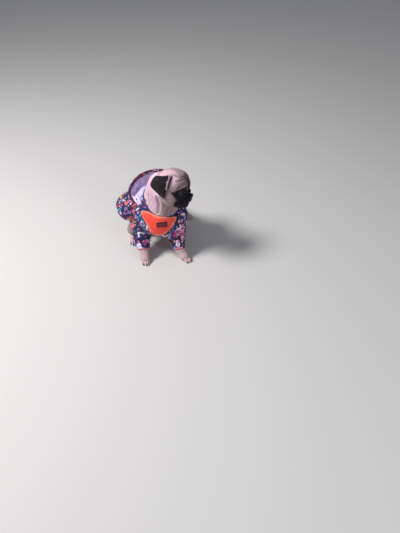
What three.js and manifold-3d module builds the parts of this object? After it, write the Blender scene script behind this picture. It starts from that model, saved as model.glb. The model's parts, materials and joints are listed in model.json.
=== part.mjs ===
// A pug puppy sitting up, dressed in a hooded jacket with a chest harness over it.
// Millimetres, +Z up; the chest faces -Y and the dog's own left is +X.
import * as THREE from 'three';
import Module from 'manifold-3d';

const wasm = await Module();
wasm.setup();

const V = (x, y, z) => new THREE.Vector3(x, y, z);
const { lerp, clamp, degToRad } = THREE.MathUtils;

// Sizes that drive the animal.
const GAP = 0.3;
const HEAD = { at: V(13.3, -55, 232), yaw: 72.3, pitch: 15.9, roll: 7.1 };
const SKULL = { wide: 83, long: 80, high: 69 };
const EYE = { radius: 11.4, out: 22.5, forward: -30.5, up: 0, opening: [10.2, 8.8] };
const NOSE = { at: V(0, -59, -10), half: V(9.5, 5, 6.5) };
const EAR_THICK = 2.6;
const CHEST = { at: V(-18, -16, 106), half: V(50, 50, 52) };
const RUMP = { at: V(-52, 88, 48.5), half: V(54, 56, 50) };
const CLAW = { length: 4.6, root: 1.8 };

// Sizes that drive the clothes.
const CLOTH = 2.2;
const HEM = 61;
const CUFF = 15.5;
const WEBBING = { wide: 14, thick: 2.4 };

// Distance fields: each takes a point and tells how far it lies outside the form.
const local = V(0, 0, 0);
const egg = (at, half, turn = null) => {
  const back = turn ? new THREE.Quaternion().setFromEuler(turn).invert() : null;
  return (p) => {
    local.copy(p).sub(at);
    if (back) local.applyQuaternion(back);
    const near = Math.hypot(local.x / half.x, local.y / half.y, local.z / half.z);
    const slope = Math.hypot(local.x / half.x ** 2, local.y / half.y ** 2, local.z / half.z ** 2);
    return near < 1e-6 ? -Math.min(half.x, half.y, half.z) : (near * (near - 1)) / slope;
  };
};
const ball = (at, radius) => (p) => p.distanceTo(at) - radius;
const limb = (from, to, first, last) => {
  const along = to.clone().sub(from);
  const long = along.lengthSq();
  return (p) => {
    const t = clamp(local.copy(p).sub(from).dot(along) / long, 0, 1);
    return local.copy(from).addScaledVector(along, t).distanceTo(p) - lerp(first, last, t);
  };
};
const merge = (soft, ...fields) => (p) => fields.reduce((near, field) => {
  const next = field(p);
  const share = Math.max(soft - Math.abs(near - next), 0) / soft;
  return Math.min(near, next) - (share * share * soft) / 4;
}, 1e3);
const within = (field, limit, margin) => (p) => Math.max(field(p), limit(p) + margin);
const mirrored = (make) => [make(-1), make(1)];

// Turns points and faces into one closed solid.
function solid(points, faces) {
  const mesh = new wasm.Mesh({
    numProp: 3,
    vertProperties: new Float32Array(points.flatMap((p) => [p.x, p.y, p.z])),
    triVerts: new Uint32Array(faces.flat()),
  });
  return new wasm.Manifold(mesh);
}

function fromGeometry(geometry, matrix = new THREE.Matrix4()) {
  const at = geometry.attributes.position;
  const seen = new Map();
  const points = [];
  const slot = [];
  for (let i = 0; i < at.count; i += 1) {
    const p = V(0, 0, 0).fromBufferAttribute(at, i);
    const key = [p.x, p.y, p.z].map((n) => Math.round(n * 1e4)).join();
    if (!seen.has(key)) {
      seen.set(key, points.length);
      points.push(p.applyMatrix4(matrix));
    }
    slot.push(seen.get(key));
  }
  const order = geometry.index ? [...geometry.index.array] : slot.map((_, i) => i);
  const faces = [];
  for (let i = 0; i < order.length; i += 3) {
    const face = order.slice(i, i + 3).map((n) => slot[n]);
    if (new Set(face).size === 3) faces.push(face);
  }
  return solid(points, faces);
}

const largest = (made) => made.decompose().sort((a, b) => b.volume() - a.volume())[0];

// Walks inward along a ray until it meets the form.
function meet(field, from, way, reach, level) {
  const p = V(0, 0, 0);
  let outer = reach;
  let inner = 0;
  for (let t = reach; t > 0; ) {
    const gap = field(p.copy(from).addScaledVector(way, t)) - level;
    if (gap < 0) {
      inner = t;
      break;
    }
    outer = t;
    t -= Math.max(gap * 0.6, 0.05);
  }
  for (let n = 0; n < 14; n += 1) {
    const t = (outer + inner) / 2;
    if (field(p.copy(from).addScaledVector(way, t)) < level) inner = t;
    else outer = t;
  }
  return from.clone().addScaledVector(way, Math.max(inner, 0.05));
}

// Lays a skin over a field: rings of rays run along a path, and fans of rays close its two ends.
function skin(field, path, look = {}) {
  const { rows = 6, cols = 20, fan = 4, reach = 90, level = 0, side = V(1, 0, 0), ease = (t) => t } = look;
  const curve = new THREE.CatmullRomCurve3(path, false, 'catmullrom', 0.5);
  const stations = [];
  for (let i = 1; i < fan; i += 1) stations.push([0, (ease(i / fan) * Math.PI) / 2]);
  for (let i = 0; i <= rows; i += 1) stations.push([i / rows, Math.PI / 2]);
  for (let i = fan - 1; i > 0; i -= 1) stations.push([1, Math.PI - ((i / fan) * Math.PI) / 2]);
  const cast = (t, tilt, turn) => {
    const along = curve.getTangentAt(t);
    const across = side.clone().addScaledVector(along, -side.dot(along)).normalize();
    const third = along.clone().cross(across);
    const way = along.multiplyScalar(-Math.cos(tilt));
    way.addScaledVector(across, Math.sin(tilt) * Math.cos(turn));
    way.addScaledVector(third, Math.sin(tilt) * Math.sin(turn));
    return meet(field, curve.getPointAt(t), way, reach, level);
  };
  const points = [cast(0, 0, 0), cast(1, Math.PI, 0)];
  const faces = [];
  const at = (row, col) => 2 + row * cols + (col % cols);
  stations.forEach(([t, tilt]) => {
    for (let i = 0; i < cols; i += 1) points.push(cast(t, tilt, (i / cols) * Math.PI * 2));
  });
  const last = stations.length - 1;
  for (let i = 0; i < cols; i += 1) {
    faces.push([0, at(0, i + 1), at(0, i)]);
    faces.push([1, at(last, i), at(last, i + 1)]);
    for (let row = 0; row < last; row += 1) {
      faces.push([at(row, i), at(row, i + 1), at(row + 1, i)]);
      faces.push([at(row, i + 1), at(row + 1, i + 1), at(row + 1, i)]);
    }
  }
  return solid(points, faces);
}

// Sweeps a rounded section along a line; a ring has no ends.
function sweep(line, half, look = {}) {
  const { rows = 24, cols = 8, ring = false, out = V(0, 0, 1) } = look;
  const points = [];
  const faces = [];
  const count = ring ? rows : rows + 1;
  for (let i = 0; i < count; i += 1) {
    const t = i / rows;
    const here = line(t);
    const along = line(ring ? (t + 0.004) % 1 : Math.min(t + 0.004, 1)).sub(line(ring ? (t + 0.996) % 1
      : Math.max(t - 0.004, 0))).normalize();
    const away = (typeof out === 'function' ? out(t) : out.clone());
    away.addScaledVector(along, -away.dot(along)).normalize();
    const across = along.clone().cross(away);
    const [wide, thick] = half(t);
    for (let n = 0; n < cols; n += 1) {
      const turn = (n / cols) * Math.PI * 2;
      const p = here.clone().addScaledVector(across, Math.cos(turn) * wide);
      points.push(p.addScaledVector(away, Math.sin(turn) * thick));
    }
  }
  const at = (row, col) => (row % count) * cols + (col % cols);
  for (let row = 0; row < (ring ? rows : rows); row += 1) {
    for (let n = 0; n < cols; n += 1) {
      faces.push([at(row, n), at(row, n + 1), at(row + 1, n)]);
      faces.push([at(row, n + 1), at(row + 1, n + 1), at(row + 1, n)]);
    }
  }
  if (!ring) {
    for (let n = 1; n < cols - 1; n += 1) {
      faces.push([at(0, 0), at(0, n + 1), at(0, n)]);
      faces.push([at(rows, 0), at(rows, n), at(rows, n + 1)]);
    }
  }
  const made = solid(points, faces);
  return made.volume() < 0 ? solid(points, faces.map(([a, b, c]) => [a, c, b])) : made;
}

// Gives a surface a thickness: from one height above it to another.
function sheet(surface, low, high, look = {}) {
  const { wide = 16, long = 10 } = look;
  const lift = (u, v, height) => {
    const step = 1e-3;
    const [u0, u1] = [Math.max(u - step, 0), Math.min(u + step, 1)];
    const [v0, v1] = [Math.max(v - step, 0), Math.min(v + step, 1)];
    const across = surface(u1, v).sub(surface(u0, v));
    const along = surface(u, v1).sub(surface(u, v0));
    return surface(u, v).addScaledVector(across.cross(along).normalize(), height);
  };
  const points = [];
  const faces = [];
  const side = (wide + 1) * (long + 1);
  const at = (layer, i, j) => layer * side + i * (long + 1) + j;
  [low, high].forEach((height) => {
    for (let i = 0; i <= wide; i += 1) {
      for (let j = 0; j <= long; j += 1) {
        const h = typeof height === 'function' ? height(i / wide, j / long) : height;
        points.push(lift(i / wide, j / long, h));
      }
    }
  });
  const quad = (a, b, c, d) => faces.push([a, b, c], [a, c, d]);
  for (let i = 0; i < wide; i += 1) {
    for (let j = 0; j < long; j += 1) {
      quad(at(1, i, j), at(1, i + 1, j), at(1, i + 1, j + 1), at(1, i, j + 1));
      quad(at(0, i, j), at(0, i, j + 1), at(0, i + 1, j + 1), at(0, i + 1, j));
    }
    quad(at(0, i, 0), at(0, i + 1, 0), at(1, i + 1, 0), at(1, i, 0));
    quad(at(0, i + 1, long), at(0, i, long), at(1, i, long), at(1, i + 1, long));
  }
  for (let j = 0; j < long; j += 1) {
    quad(at(0, 0, j + 1), at(0, 0, j), at(1, 0, j), at(1, 0, j + 1));
    quad(at(0, wide, j), at(0, wide, j + 1), at(1, wide, j + 1), at(1, wide, j));
  }
  return solid(points, faces);
}

// A flat outline drawn out into a prism along a frame's own z.
function prism(outline, depth, frame) {
  const shape = new THREE.Shape(outline.map(([x, y]) => new THREE.Vector2(x, y)));
  const geometry = new THREE.ExtrudeGeometry(shape, { depth, bevelEnabled: false, steps: 1 });
  return fromGeometry(geometry, frame);
}

const box = (at, size) => fromGeometry(new THREE.BoxGeometry(...size), new THREE.Matrix4().setPosition(at));
const ground = box(V(0, 0, -50), [900, 900, 100]);

const root = new THREE.Group();
root.name = 'pug_puppy';
function add(name, made, colour, roughness = 0.8) {
  const mesh = largest(made).getMesh();
  const geometry = new THREE.BufferGeometry();
  geometry.setAttribute('position', new THREE.BufferAttribute(new Float32Array(mesh.vertProperties), 3));
  geometry.setIndex(new THREE.BufferAttribute(new Uint32Array(mesh.triVerts), 1));
  geometry.computeVertexNormals();
  const node = new THREE.Mesh(geometry, new THREE.MeshStandardMaterial({ color: colour, roughness }));
  node.name = name;
  root.add(node);
}
const COLOUR = {
  fawn: 0xd9bfa6, mask: 0x2b2423, ear: 0x2e2728, eye: 0x120d0c, nose: 0x161314, claw: 0x3a302c,
  print: 0x2b2c4e, lining: 0xa9a2c4, rim: 0x3a2850, trim: 0xe0607a, harness: 0xf2572a,
  binding: 0xf08a62, patch: 0x4a1f28, webbing: 0xe8502c, metal: 0xb8bcc2, buckle: 0x1c1c20,
};

// The head stands in a frame of its own: nose along -Y, crown along +Z.
const headFrame = new THREE.Matrix4().makeRotationZ(degToRad(HEAD.yaw))
  .multiply(new THREE.Matrix4().makeRotationX(degToRad(HEAD.pitch)))
  .multiply(new THREE.Matrix4().makeRotationY(degToRad(HEAD.roll)))
  .setPosition(HEAD.at);
const inHead = (made) => {
  const mesh = made.getMesh();
  const points = [];
  for (let i = 0; i < mesh.numVert; i += 1) {
    points.push(V(...mesh.vertProperties.slice(i * 3, i * 3 + 3)).applyMatrix4(headFrame));
  }
  const faces = [];
  for (let i = 0; i < mesh.triVerts.length; i += 3) faces.push([...mesh.triVerts.slice(i, i + 3)]);
  return solid(points, faces);
};

const eyeAt = (s) => V(s * EYE.out, EYE.forward, EYE.up);
const skullField = merge(
  9,
  egg(V(0, -9, 0.5), V(SKULL.wide / 2, SKULL.long / 2, SKULL.high / 2)),
  egg(V(0, -20, 7), V(36, 26.5, 28)),
  ...mirrored((s) => egg(V(s * 26, -14, -17), V(20, 27, 22))),
  egg(V(0, -4, -28), V(28, 30, 17)),
);
const muzzleField = merge(
  5,
  egg(V(0, -39, -21), V(28, 22, 20)),
  ...mirrored((s) => egg(V(s * 13, -47, -27), V(14.5, 15.5, 13.5))),
  egg(V(0, -36, -40), V(19, 20, 9.5)),
);
const foldField = merge(3, ...mirrored((s) => limb(V(0, -51, 0), V(s * 18, -46, -9), 4.5, 4)));
const browField = (s) => merge(5, egg(V(s * 19, -33, 9), V(11, 7, 5)), ball(eyeAt(s), EYE.radius + 1.2));
const headField = merge(4, merge(7, skullField, muzzleField), foldField, browField(-1), browField(1));

const headPath = [V(0, -17, -6), V(0, -15, -6)];
const headLook = { rows: 1, cols: 34, fan: 11, reach: 75, side: V(0, 0, 1) };
const headSolid = (level) => skin(headField, headPath, { ...headLook, level });

const gaze = (s) => V(s * 0.64, -0.77, 0.04).normalize();
const lookMatrix = (at, way, up = V(0, 0, 1)) => {
  const across = up.clone().cross(way).normalize();
  return new THREE.Matrix4().makeBasis(across, way.clone().cross(across), way).setPosition(at);
};
const almond = ([wide, high]) => Array.from({ length: 16 }, (_, i) => {
  const turn = (i / 16) * Math.PI * 2;
  const pinch = 1 - 0.18 * Math.cos(turn) ** 2;
  return [wide * Math.cos(turn), high * Math.sin(turn) * pinch];
});

let head = headSolid(0);
const eyes = mirrored((s) => ({
  whole: fromGeometry(new THREE.SphereGeometry(EYE.radius, 12, 8), lookMatrix(eyeAt(s), gaze(s))),
  grown: fromGeometry(new THREE.SphereGeometry(EYE.radius + GAP, 12, 8), lookMatrix(eyeAt(s), gaze(s))),
  window: prism(almond(EYE.opening), 20, lookMatrix(eyeAt(s), gaze(s))),
}));
eyes.forEach((eye) => {
  head = head.subtract(eye.grown).subtract(eye.window);
});

// Nose leather with two comma nostrils.
const noseField = merge(3, egg(NOSE.at, NOSE.half), egg(V(0, -57.5, -16), V(4.5, 4.5, 4)));
const nosePath = [V(0, NOSE.at.y, NOSE.at.z), V(0, NOSE.at.y + 0.5, NOSE.at.z)];
const noseLook = { rows: 1, cols: 14, fan: 4, reach: 20, side: V(0, 0, 1) };
head = head.subtract(skin(noseField, nosePath, { ...noseLook, level: GAP }));
let nose = skin(noseField, nosePath, noseLook);
mirrored((s) => {
  const bore = limb(V(s * 3.6, -65, -11.5), V(s * 8, -61.5, -10), 1.7, 1.2);
  nose = nose.subtract(skin(bore, [V(s * 3.6, -65, -11.5), V(s * 8, -61.5, -10)], { rows: 2, cols: 6, fan: 2,
    reach: 6, side: V(0, 0, 1) }));
});

// The mouth is a shut line that droops from under the nose to each corner, and the lip is parted there.
const mouthAt = (s, t) => V(s * 30 * t ** 0.8, -62 + 42 * t ** 2.2, -29 - 9 * Math.sin(t * 2.2));
const groove = (s) => {
  const line = Array.from({ length: 7 }, (_, i) => mouthAt(s, i / 6));
  const field = merge(0.5, ...line.slice(1).map((p, i) => limb(line[i], p, 2.2, 2)));
  return skin(field, line, { rows: 8, cols: 6, fan: 2, reach: 8, side: V(0, 0, 1) });
};
mirrored((s) => {
  head = head.subtract(groove(s));
});

// Each ear is a folded flap: it rises from its root, turns over and hangs beside the cheek.
// The left one is swung a little forward.
const EAR_EDGE = {
  right: {
    front: [V(-23, 0, 26), V(-32, -2, 33), V(-43, -5, 23), V(-47.5, -8, 6), V(-48.5, -9, -14)],
    back: [V(-31, 16, 19), V(-39, 26, 24), V(-47, 30, 13), V(-50, 27, 0), V(-49, -6, -16)],
  },
  left: {
    front: [V(23, -6, 24), V(31, -12, 25.5), V(39, -19, 20), V(43.5, -25, 9), V(44.5, -29, -4)],
    back: [V(30, 12, 17), V(39, 13, 17), V(46, 6, 7), V(48.5, -8, -5), V(45, -26, -6)],
  },
};
const earSheet = (side, more) => {
  const front = new THREE.CatmullRomCurve3(EAR_EDGE[side].front);
  const back = new THREE.CatmullRomCurve3(EAR_EDGE[side].back);
  const away = side === 'right' ? -1 : 1;
  const surface = (u, v) => {
    const p = front.getPoint(v).lerp(back.getPoint(v), away > 0 ? u : 1 - u);
    p.x += away * Math.sin(u * Math.PI) * (2 + (side === 'right' ? 3 : 1) * (1 - v));
    return p;
  };
  const half = (u, v) => EAR_THICK / 2 * (0.55 + 0.45 * Math.sin(u * Math.PI)) * lerp(1.25, 0.8, v) + more;
  return sheet(surface, (u, v) => -half(u, v), half, { wide: 8, long: 10 });
};
const EAR_CUP = { at: V(37, 2, 11), half: V(8, 9, 11) };
mirrored((s) => {
  const at = V(s * EAR_CUP.at.x, EAR_CUP.at.y, EAR_CUP.at.z);
  const path = [at.clone().add(V(0, -1, 0)), at.clone().add(V(0, 1, 0))];
  head = head.subtract(skin(egg(at, EAR_CUP.half), path, { rows: 1, cols: 10, fan: 3, reach: 20 }));
});

// Trunk, neck and limbs.
const neckField = merge(
  12,
  limb(V(-12, -13, 138), V(8, -41, 204), 43, 35),
  limb(V(-19, 4, 150), V(-4, -31, 202), 37, 34),
  limb(V(-4, -31, 202), V(8, -47, 221), 34, 26),
  limb(V(-20, 8, 160), V(-8, -19, 204), 35, 31),
);
const trunkField = merge(
  14,
  egg(CHEST.at, CHEST.half),
  limb(V(-19, -4, 106), V(-48, 84, 60), 47, 50),
  egg(RUMP.at, RUMP.half),
);
const coatField = merge(
  16,
  egg(V(-20, -13, 104), V(56, 54, 54)),
  egg(V(-20, -4, 122), V(64, 48, 38)),
  limb(V(-22, 4, 114), V(-54, 86, 72), 56, 58),
  egg(V(-105, 60, 87), V(42, 38, 42)),
  egg(V(-54, 88, 56), V(61, 60, 64)),
  egg(V(0, 72, 80), V(34, 42, 32)),
);
const trunkPath = [V(-18, -14, 108), V(-24, 20, 100), V(-40, 62, 80), V(-52, 90, 62)];
const coatLook = { rows: 8, cols: 22, fan: 4, reach: 160, side: V(1, 0, 0) };
const coatSolid = (level, look = {}) => skin(coatField, trunkPath, { ...coatLook, level, ...look });
const coatInside = coatSolid(-CLOTH);
const coatOutside = coatSolid(0);
const coatClear = coatSolid(GAP);


// The body keeps clear of the jacket; past the chest panel and under the hem only the hem's outline limits it.
const seat = V(0, 0, 0);
const roomField = (p) => {
  const open = THREE.MathUtils.smoothstep(Math.max(p.y, -p.x - 34), 39, 52);
  const below = THREE.MathUtils.smoothstep(HEM - p.z, 2, 15);
  return coatField(seat.copy(p).setZ(lerp(p.z, Math.max(p.z, HEM + 10), open))) - 40 * open * below;
};
const trunkSolid = (level) => skin(within(trunkField, roomField, CLOTH + 3 - level), trunkPath,
  { rows: 6, cols: 16, fan: 4, reach: 150, level });
const neckPath = [V(-16, -6, 146), V(-8, -16, 176), V(2, -36, 210)];
const neckLook = { rows: 4, cols: 16, fan: 3, reach: 90, side: V(1, 0, 0) };
const neckSolid = (level) => skin(neckField, neckPath, { ...neckLook, level });
const headGrown = inHead(headSolid(GAP));
const trunkGrown = trunkSolid(GAP);

// Fore limbs: the upper part runs inside the sleeve, and the paw shows below the cuff.
const FORE = {
  right: { shoulder: V(-59, -12, 116), elbow: V(-69, -17, 76), wrist: V(-64, -56, 30), palm: V(-61, -73, 12),
    toes: V(-54.5, -86, 5), bulk: [26, 24, CUFF], sag: V(-75, -39, 47) },
  left: { shoulder: V(27, -18, 116), elbow: V(25.5, -26, 76), wrist: V(30.5, -54, 31), palm: V(43, -64, 12),
    toes: V(59, -72, 5), bulk: [27, 21, CUFF - 1], sag: V(22, -38, 52) },
};
const sleeveField = (leg, less) => merge(
  10,
  limb(leg.shoulder, leg.elbow, leg.bulk[0] - less, leg.bulk[1] - less),
  limb(leg.elbow, leg.wrist, leg.bulk[1] - less, leg.bulk[2] - less),
  ball(leg.sag, 17.5 - less),
);
const foreField = (leg) => merge(
  8,
  limb(leg.shoulder, leg.elbow, 22, 15),
  limb(leg.elbow, leg.wrist, 15, 11),
  limb(leg.wrist, leg.palm, 11, 10),
);

const toeRoots = (palm, toes, spread) => [-1.5, -0.5, 0.5, 1.5].map((n) => {
  const along = toes.clone().sub(palm).setZ(0).normalize();
  const across = V(-along.y, along.x, 0);
  const back = Math.abs(n) > 1 ? 5.5 : 0;
  const tip = toes.clone().addScaledVector(across, n * spread).addScaledVector(along, -back);
  const knuckle = palm.clone().lerp(tip, 0.45).addScaledVector(across, n * 1.2).setZ(10.8);
  return { knuckle, tip: tip.setZ(4), along: tip.clone().sub(knuckle).setZ(0).normalize() };
});
const pawField = (from, palm, toes, girth) => merge(
  1.8,
  merge(6, limb(from, palm, girth, girth - 1.5), limb(palm, palm.clone().lerp(toes, 0.45).setZ(6.2), girth - 1.5, 6.8)),
  ...toeRoots(palm, toes, 5.6).map((toe) => limb(toe.knuckle, toe.tip, 4, 4.5)),
);
function claws(name, palm, toes, paw) {
  toeRoots(palm, toes, 5.6).forEach((toe, n) => {
    const base = toe.tip.clone().addScaledVector(toe.along, 2.4).setZ(5.2);
    const curve = (t) => base.clone().addScaledVector(toe.along, t * CLAW.length).setZ(5.2 - 3.7 * t * t);
    const nail = sweep(curve, (t) => [CLAW.root * (1 - 0.8 * t), CLAW.root * (1 - 0.75 * t)], { rows: 2, cols: 5 });
    nails.push({ name: `${name}_claw_${n + 1}`, whole: nail.subtract(paw) });
  });
}
const nails = [];

const HIND = {
  right: { hip: V(-78, 80, 50), knee: V(-100, 19.5, 39.5), hock: V(-104, 66, 15), palm: V(-101, 22, 10),
    toes: V(-98, -2, 5), girth: [30, 16, 11] },
  left: { hip: V(-22, 92, 54), knee: V(15, 66, 43), hock: V(14, 133, 15), palm: V(37, 133, 11),
    toes: V(57, 126, 5), girth: [31, 17, 11] },
};
const thighField = (leg) => merge(8, limb(leg.hip, leg.knee, leg.girth[0], leg.girth[1]));
const shankField = (leg) => limb(leg.knee, leg.hock, leg.girth[1] - 1.5, leg.girth[2]);

const slab = (at, way, deep) => prism([[-120, -120], [120, -120], [120, 120], [-120, 120]], deep, lookMatrix(at, way));
const CUFF_BAND = 7;
const parts = {};
['right', 'left'].forEach((side) => {
  const fore = FORE[side];
  const hind = HIND[side];
  const forePath = [fore.shoulder, fore.elbow, fore.wrist];
  const legLook = { rows: 4, cols: 12, fan: 3, reach: 60, side: V(1, 0, 0) };
  const pawLook = { rows: 6, cols: 16, fan: 4, reach: 40 };
  const hindLook = { ...pawLook, side: V(0, 0, 1) };
  const palmPath = [fore.wrist.clone().lerp(fore.palm, 0.2), fore.toes.clone().lerp(fore.palm, 0.2).setZ(8)];
  const pawShape = pawField(fore.wrist, fore.palm, fore.toes, 12);
  parts[`forepaw_${side}`] = skin(pawShape, palmPath, pawLook);
  const pawClear = skin(pawShape, palmPath, { ...pawLook, level: GAP });
  claws(`forepaw_${side}`, fore.palm, fore.toes, pawClear);

  // The sleeve is a tube from the arm hole to the wrist, with a band of trim round its end.
  const past = fore.wrist.clone().sub(fore.elbow).normalize();
  const bandAt = fore.wrist.clone().addScaledVector(past, -CUFF_BAND);
  const seamAt = bandAt.clone().addScaledVector(past, -GAP);
  const hollowPath = [fore.shoulder, fore.elbow, fore.wrist.clone().addScaledVector(past, 14)];
  const hollowField = merge(3, sleeveField(fore, CLOTH), limb(fore.wrist, hollowPath[2], CUFF - CLOTH, CUFF - CLOTH));
  const hollow = skin(hollowField, hollowPath, { ...legLook, rows: 6, cols: 10 });
  const tube = (level) => skin(sleeveField(fore, 0), forePath, { ...legLook, rows: 6, cols: 14, level });
  parts[`sleeve_${side}`] = tube(0).subtract(slab(seamAt, past, 60)).subtract(hollow);
  parts[`cuff_${side}`] = tube(0.8).subtract(hollow).intersect(slab(bandAt, past, CUFF_BAND));
  parts[`hollow_${side}`] = hollow;
  parts[`clear_${side}`] = tube(GAP);
  parts[`foreleg_${side}`] = skin(foreField(fore), forePath, { ...legLook, cols: 10 }).subtract(pawClear)
    .subtract(slab(bandAt, past, 60));

  const thighShape = within(thighField(hind), roomField, CLOTH + 4);
  const thigh = skin(thighShape, [hind.hip, hind.knee], { ...legLook, rows: 4, cols: 12, reach: 70 });
  const shank = skin(shankField(hind), [hind.knee, hind.hock], { ...legLook, rows: 4, reach: 50 });
  const hindShape = pawField(hind.hock, hind.palm, hind.toes, 11);
  const hindPath = [hind.hock.clone().setZ(11), hind.toes.clone().lerp(hind.palm, 0.2).setZ(8)];
  const hindClear = skin(hindShape, hindPath, { ...hindLook, level: GAP });
  parts[`hindpaw_${side}`] = skin(hindShape, hindPath, hindLook);
  parts[`hindleg_${side}`] = thigh.add(shank).subtract(hindClear);
  claws(`hindpaw_${side}`, hind.palm, hind.toes, hindClear);
});

// Tail: a tight curl that leaves the rump below the hem.
const TAIL = { at: V(-58, 150, 42), turn: 16, thick: 8.5 };
const tailLine = (t) => {
  const turn = 3.2 + t * 5.3;
  const radius = TAIL.turn * (1 - 0.45 * t) + 60 * Math.max(0.12 - t, 0);
  return V(
    TAIL.at.x + 12 * t,
    TAIL.at.y + radius * Math.cos(turn) * 0.75,
    TAIL.at.z + radius * Math.sin(turn),
  );
};
const tailHalf = (t) => TAIL.thick * (1 - 0.5 * t);
const tail = sweep(tailLine, (t) => [tailHalf(t), tailHalf(t)], { rows: 15, cols: 7, out: V(1, 0, 0) });

// Jacket: the body is a shell open at the neck, the arm holes and the hem, with a pink hem band.
// Under the chest it wraps right round; behind the elbows the hem rises clear of the belly.
const HEM_BAND = 6;
const CHEST_PANEL = { from: -62, to: 22, back: 34 };
const underHem = (rise) => box(V(0, 0, (HEM + rise) / 2 - 100), [900, 900, HEM + rise + 200])
  .subtract(box(
    V((CHEST_PANEL.from + CHEST_PANEL.to) / 2, CHEST_PANEL.back - rise - 200, 0),
    [CHEST_PANEL.to - CHEST_PANEL.from - 2 * rise, 400, 400],
  ));
const neckRoom = neckSolid(1.2);
const coatShell = coatOutside.subtract(coatInside).subtract(neckRoom).subtract(parts.hollow_right)
  .subtract(parts.hollow_left);
const jacketBody = coatShell.subtract(underHem(HEM_BAND + GAP));
const hemBand = coatShell.intersect(underHem(HEM_BAND)).subtract(underHem(0));

// Hood: it lies open behind the neck like a bowl, with the lining inside and a bound rim.
const HOOD = { centre: V(-22, 2, 0), base: 150, rim: 160, dip: 26, rise: 42, right: 75, left: 66, back: 54 };
const hoodRing = (t, right, left, front, back, z, dip, rise = dip) => {
  const turn = lerp(Math.PI * 1.22, -Math.PI * 0.13, t);
  const c = Math.cos(turn);
  const s = Math.sin(turn);
  return V(
    HOOD.centre.x + (c < 0 ? right : left) * c,
    HOOD.centre.y + (s < 0 ? front : back) * s,
    z + (s < 0 ? dip : rise) * s,
  );
};
const hoodSurface = (u, v) => {
  const open = clamp(Math.min(u, 1 - u) * 5, 0, 1);
  const full = Math.sin((open * Math.PI) / 2);
  const base = hoodRing(u, 43, 56, 48, 38, HOOD.base, 6);
  const mid = hoodRing(u, lerp(50, 76, full), lerp(58, 62, full), 58, 72, lerp(152, 140, full), 6);
  const rim = hoodRing(u, lerp(58, HOOD.right, full), HOOD.left, 60, HOOD.back, HOOD.rim, HOOD.dip, HOOD.rise);
  const p = base.multiplyScalar((1 - v) ** 2).addScaledVector(mid, 2 * v * (1 - v)).addScaledVector(rim, v * v);
  const fold = Math.sin(u * Math.PI * 9) * 7 * v * (1 - v) * full;
  return p.add(V(0, 0, fold));
};
const RIM = 3;
const clothSurface = (u, v) => {
  const pace = hoodSurface(u, 0.96).distanceTo(hoodSurface(u, 1)) / 0.04;
  return hoodSurface(u, v * (1 - (RIM - 0.8) / pace));
};
const hoodShell = sheet(clothSurface, 0, 2, { wide: 15, long: 4 });
const hoodLining = sheet(clothSurface, 2.3, 3.4, { wide: 15, long: 4 });
const rimRope = (radius) => sweep((t) => hoodSurface(t, 1).add(V(0, 0, 1)), () => [radius, radius], {
  rows: 20,
  cols: 6,
  out: (t) => hoodSurface(t, 1).sub(V(HOOD.centre.x, HOOD.centre.y, 175)),
});
const hoodRim = rimRope(RIM);
const rimRoom = rimRope(RIM + 1.2 * GAP);

// Harness: a chest plate with a bound edge over the jacket, a bare patch, and webbing round the girth.
const PLATE = { at: V(-19, -66, 112), lean: 0.34, low: 0.6, high: 3.4, edge: 5 };
const plateOutline = [
  [-43, 37], [-29, 39], [-14, 34], [4, 28], [24, 25], [45, 22],
  [40, 6], [30, -10], [8, -27], [-9, -27], [-20, -18], [-34, 13], [-43, 29],
];
const plateFrame = lookMatrix(PLATE.at.clone().add(V(0, 40, -14)), V(0, -1, PLATE.lean).normalize());
const shrunk = (outline, by) => {
  const middle = [2, 2];
  return outline.map(([x, y]) => {
    const [dx, dy] = [x - middle[0], y - middle[1]];
    const far = Math.hypot(dx, dy);
    return [middle[0] + (dx * (far - by)) / far, middle[1] + (dy * (far - by)) / far];
  });
};
const layer = (low, high) => coatSolid(high).subtract(coatSolid(low));
const plateLayer = layer(PLATE.low, PLATE.high);
const inner = prism(shrunk(plateOutline, PLATE.edge), 90, plateFrame);
const innerRoom = prism(shrunk(plateOutline, PLATE.edge - GAP), 90, plateFrame);
const harnessPlate = plateLayer.intersect(inner);
const harnessEdge = layer(PLATE.low, PLATE.high + 0.9).intersect(prism(plateOutline, 90, plateFrame))
  .subtract(innerRoom);
const patchOutline = [[-4.5, -1], [22.5, 1], [22.5, 13], [-4.5, 11]];
const harnessPatch = layer(PLATE.high + GAP, PLATE.high + 1.5).intersect(prism(patchOutline, 90, plateFrame));

const girthWay = V(0.06, 1, -0.4).normalize();
const girthAt = V(-24, 12, 110);
const webbing = layer(PLATE.low, PLATE.low + WEBBING.thick);
const girthStrap = webbing.intersect(slab(girthAt, girthWay, WEBBING.wide)).intersect(box(V(12, 0, 100), [200, 200, 200]));
const underHood = box(V(-20, 30, 190), [84, 90, 84]);
const strapRoom = coatSolid(PLATE.low + WEBBING.thick + GAP)
  .intersect(slab(girthAt.clone().addScaledVector(girthWay, -GAP), girthWay, WEBBING.wide + 2 * GAP));
const girthBuckle = layer(PLATE.low + WEBBING.thick + GAP, PLATE.low + WEBBING.thick + 5.5)
  .intersect(box(V(44, 8, 92), [40, 22, 26]));

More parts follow.
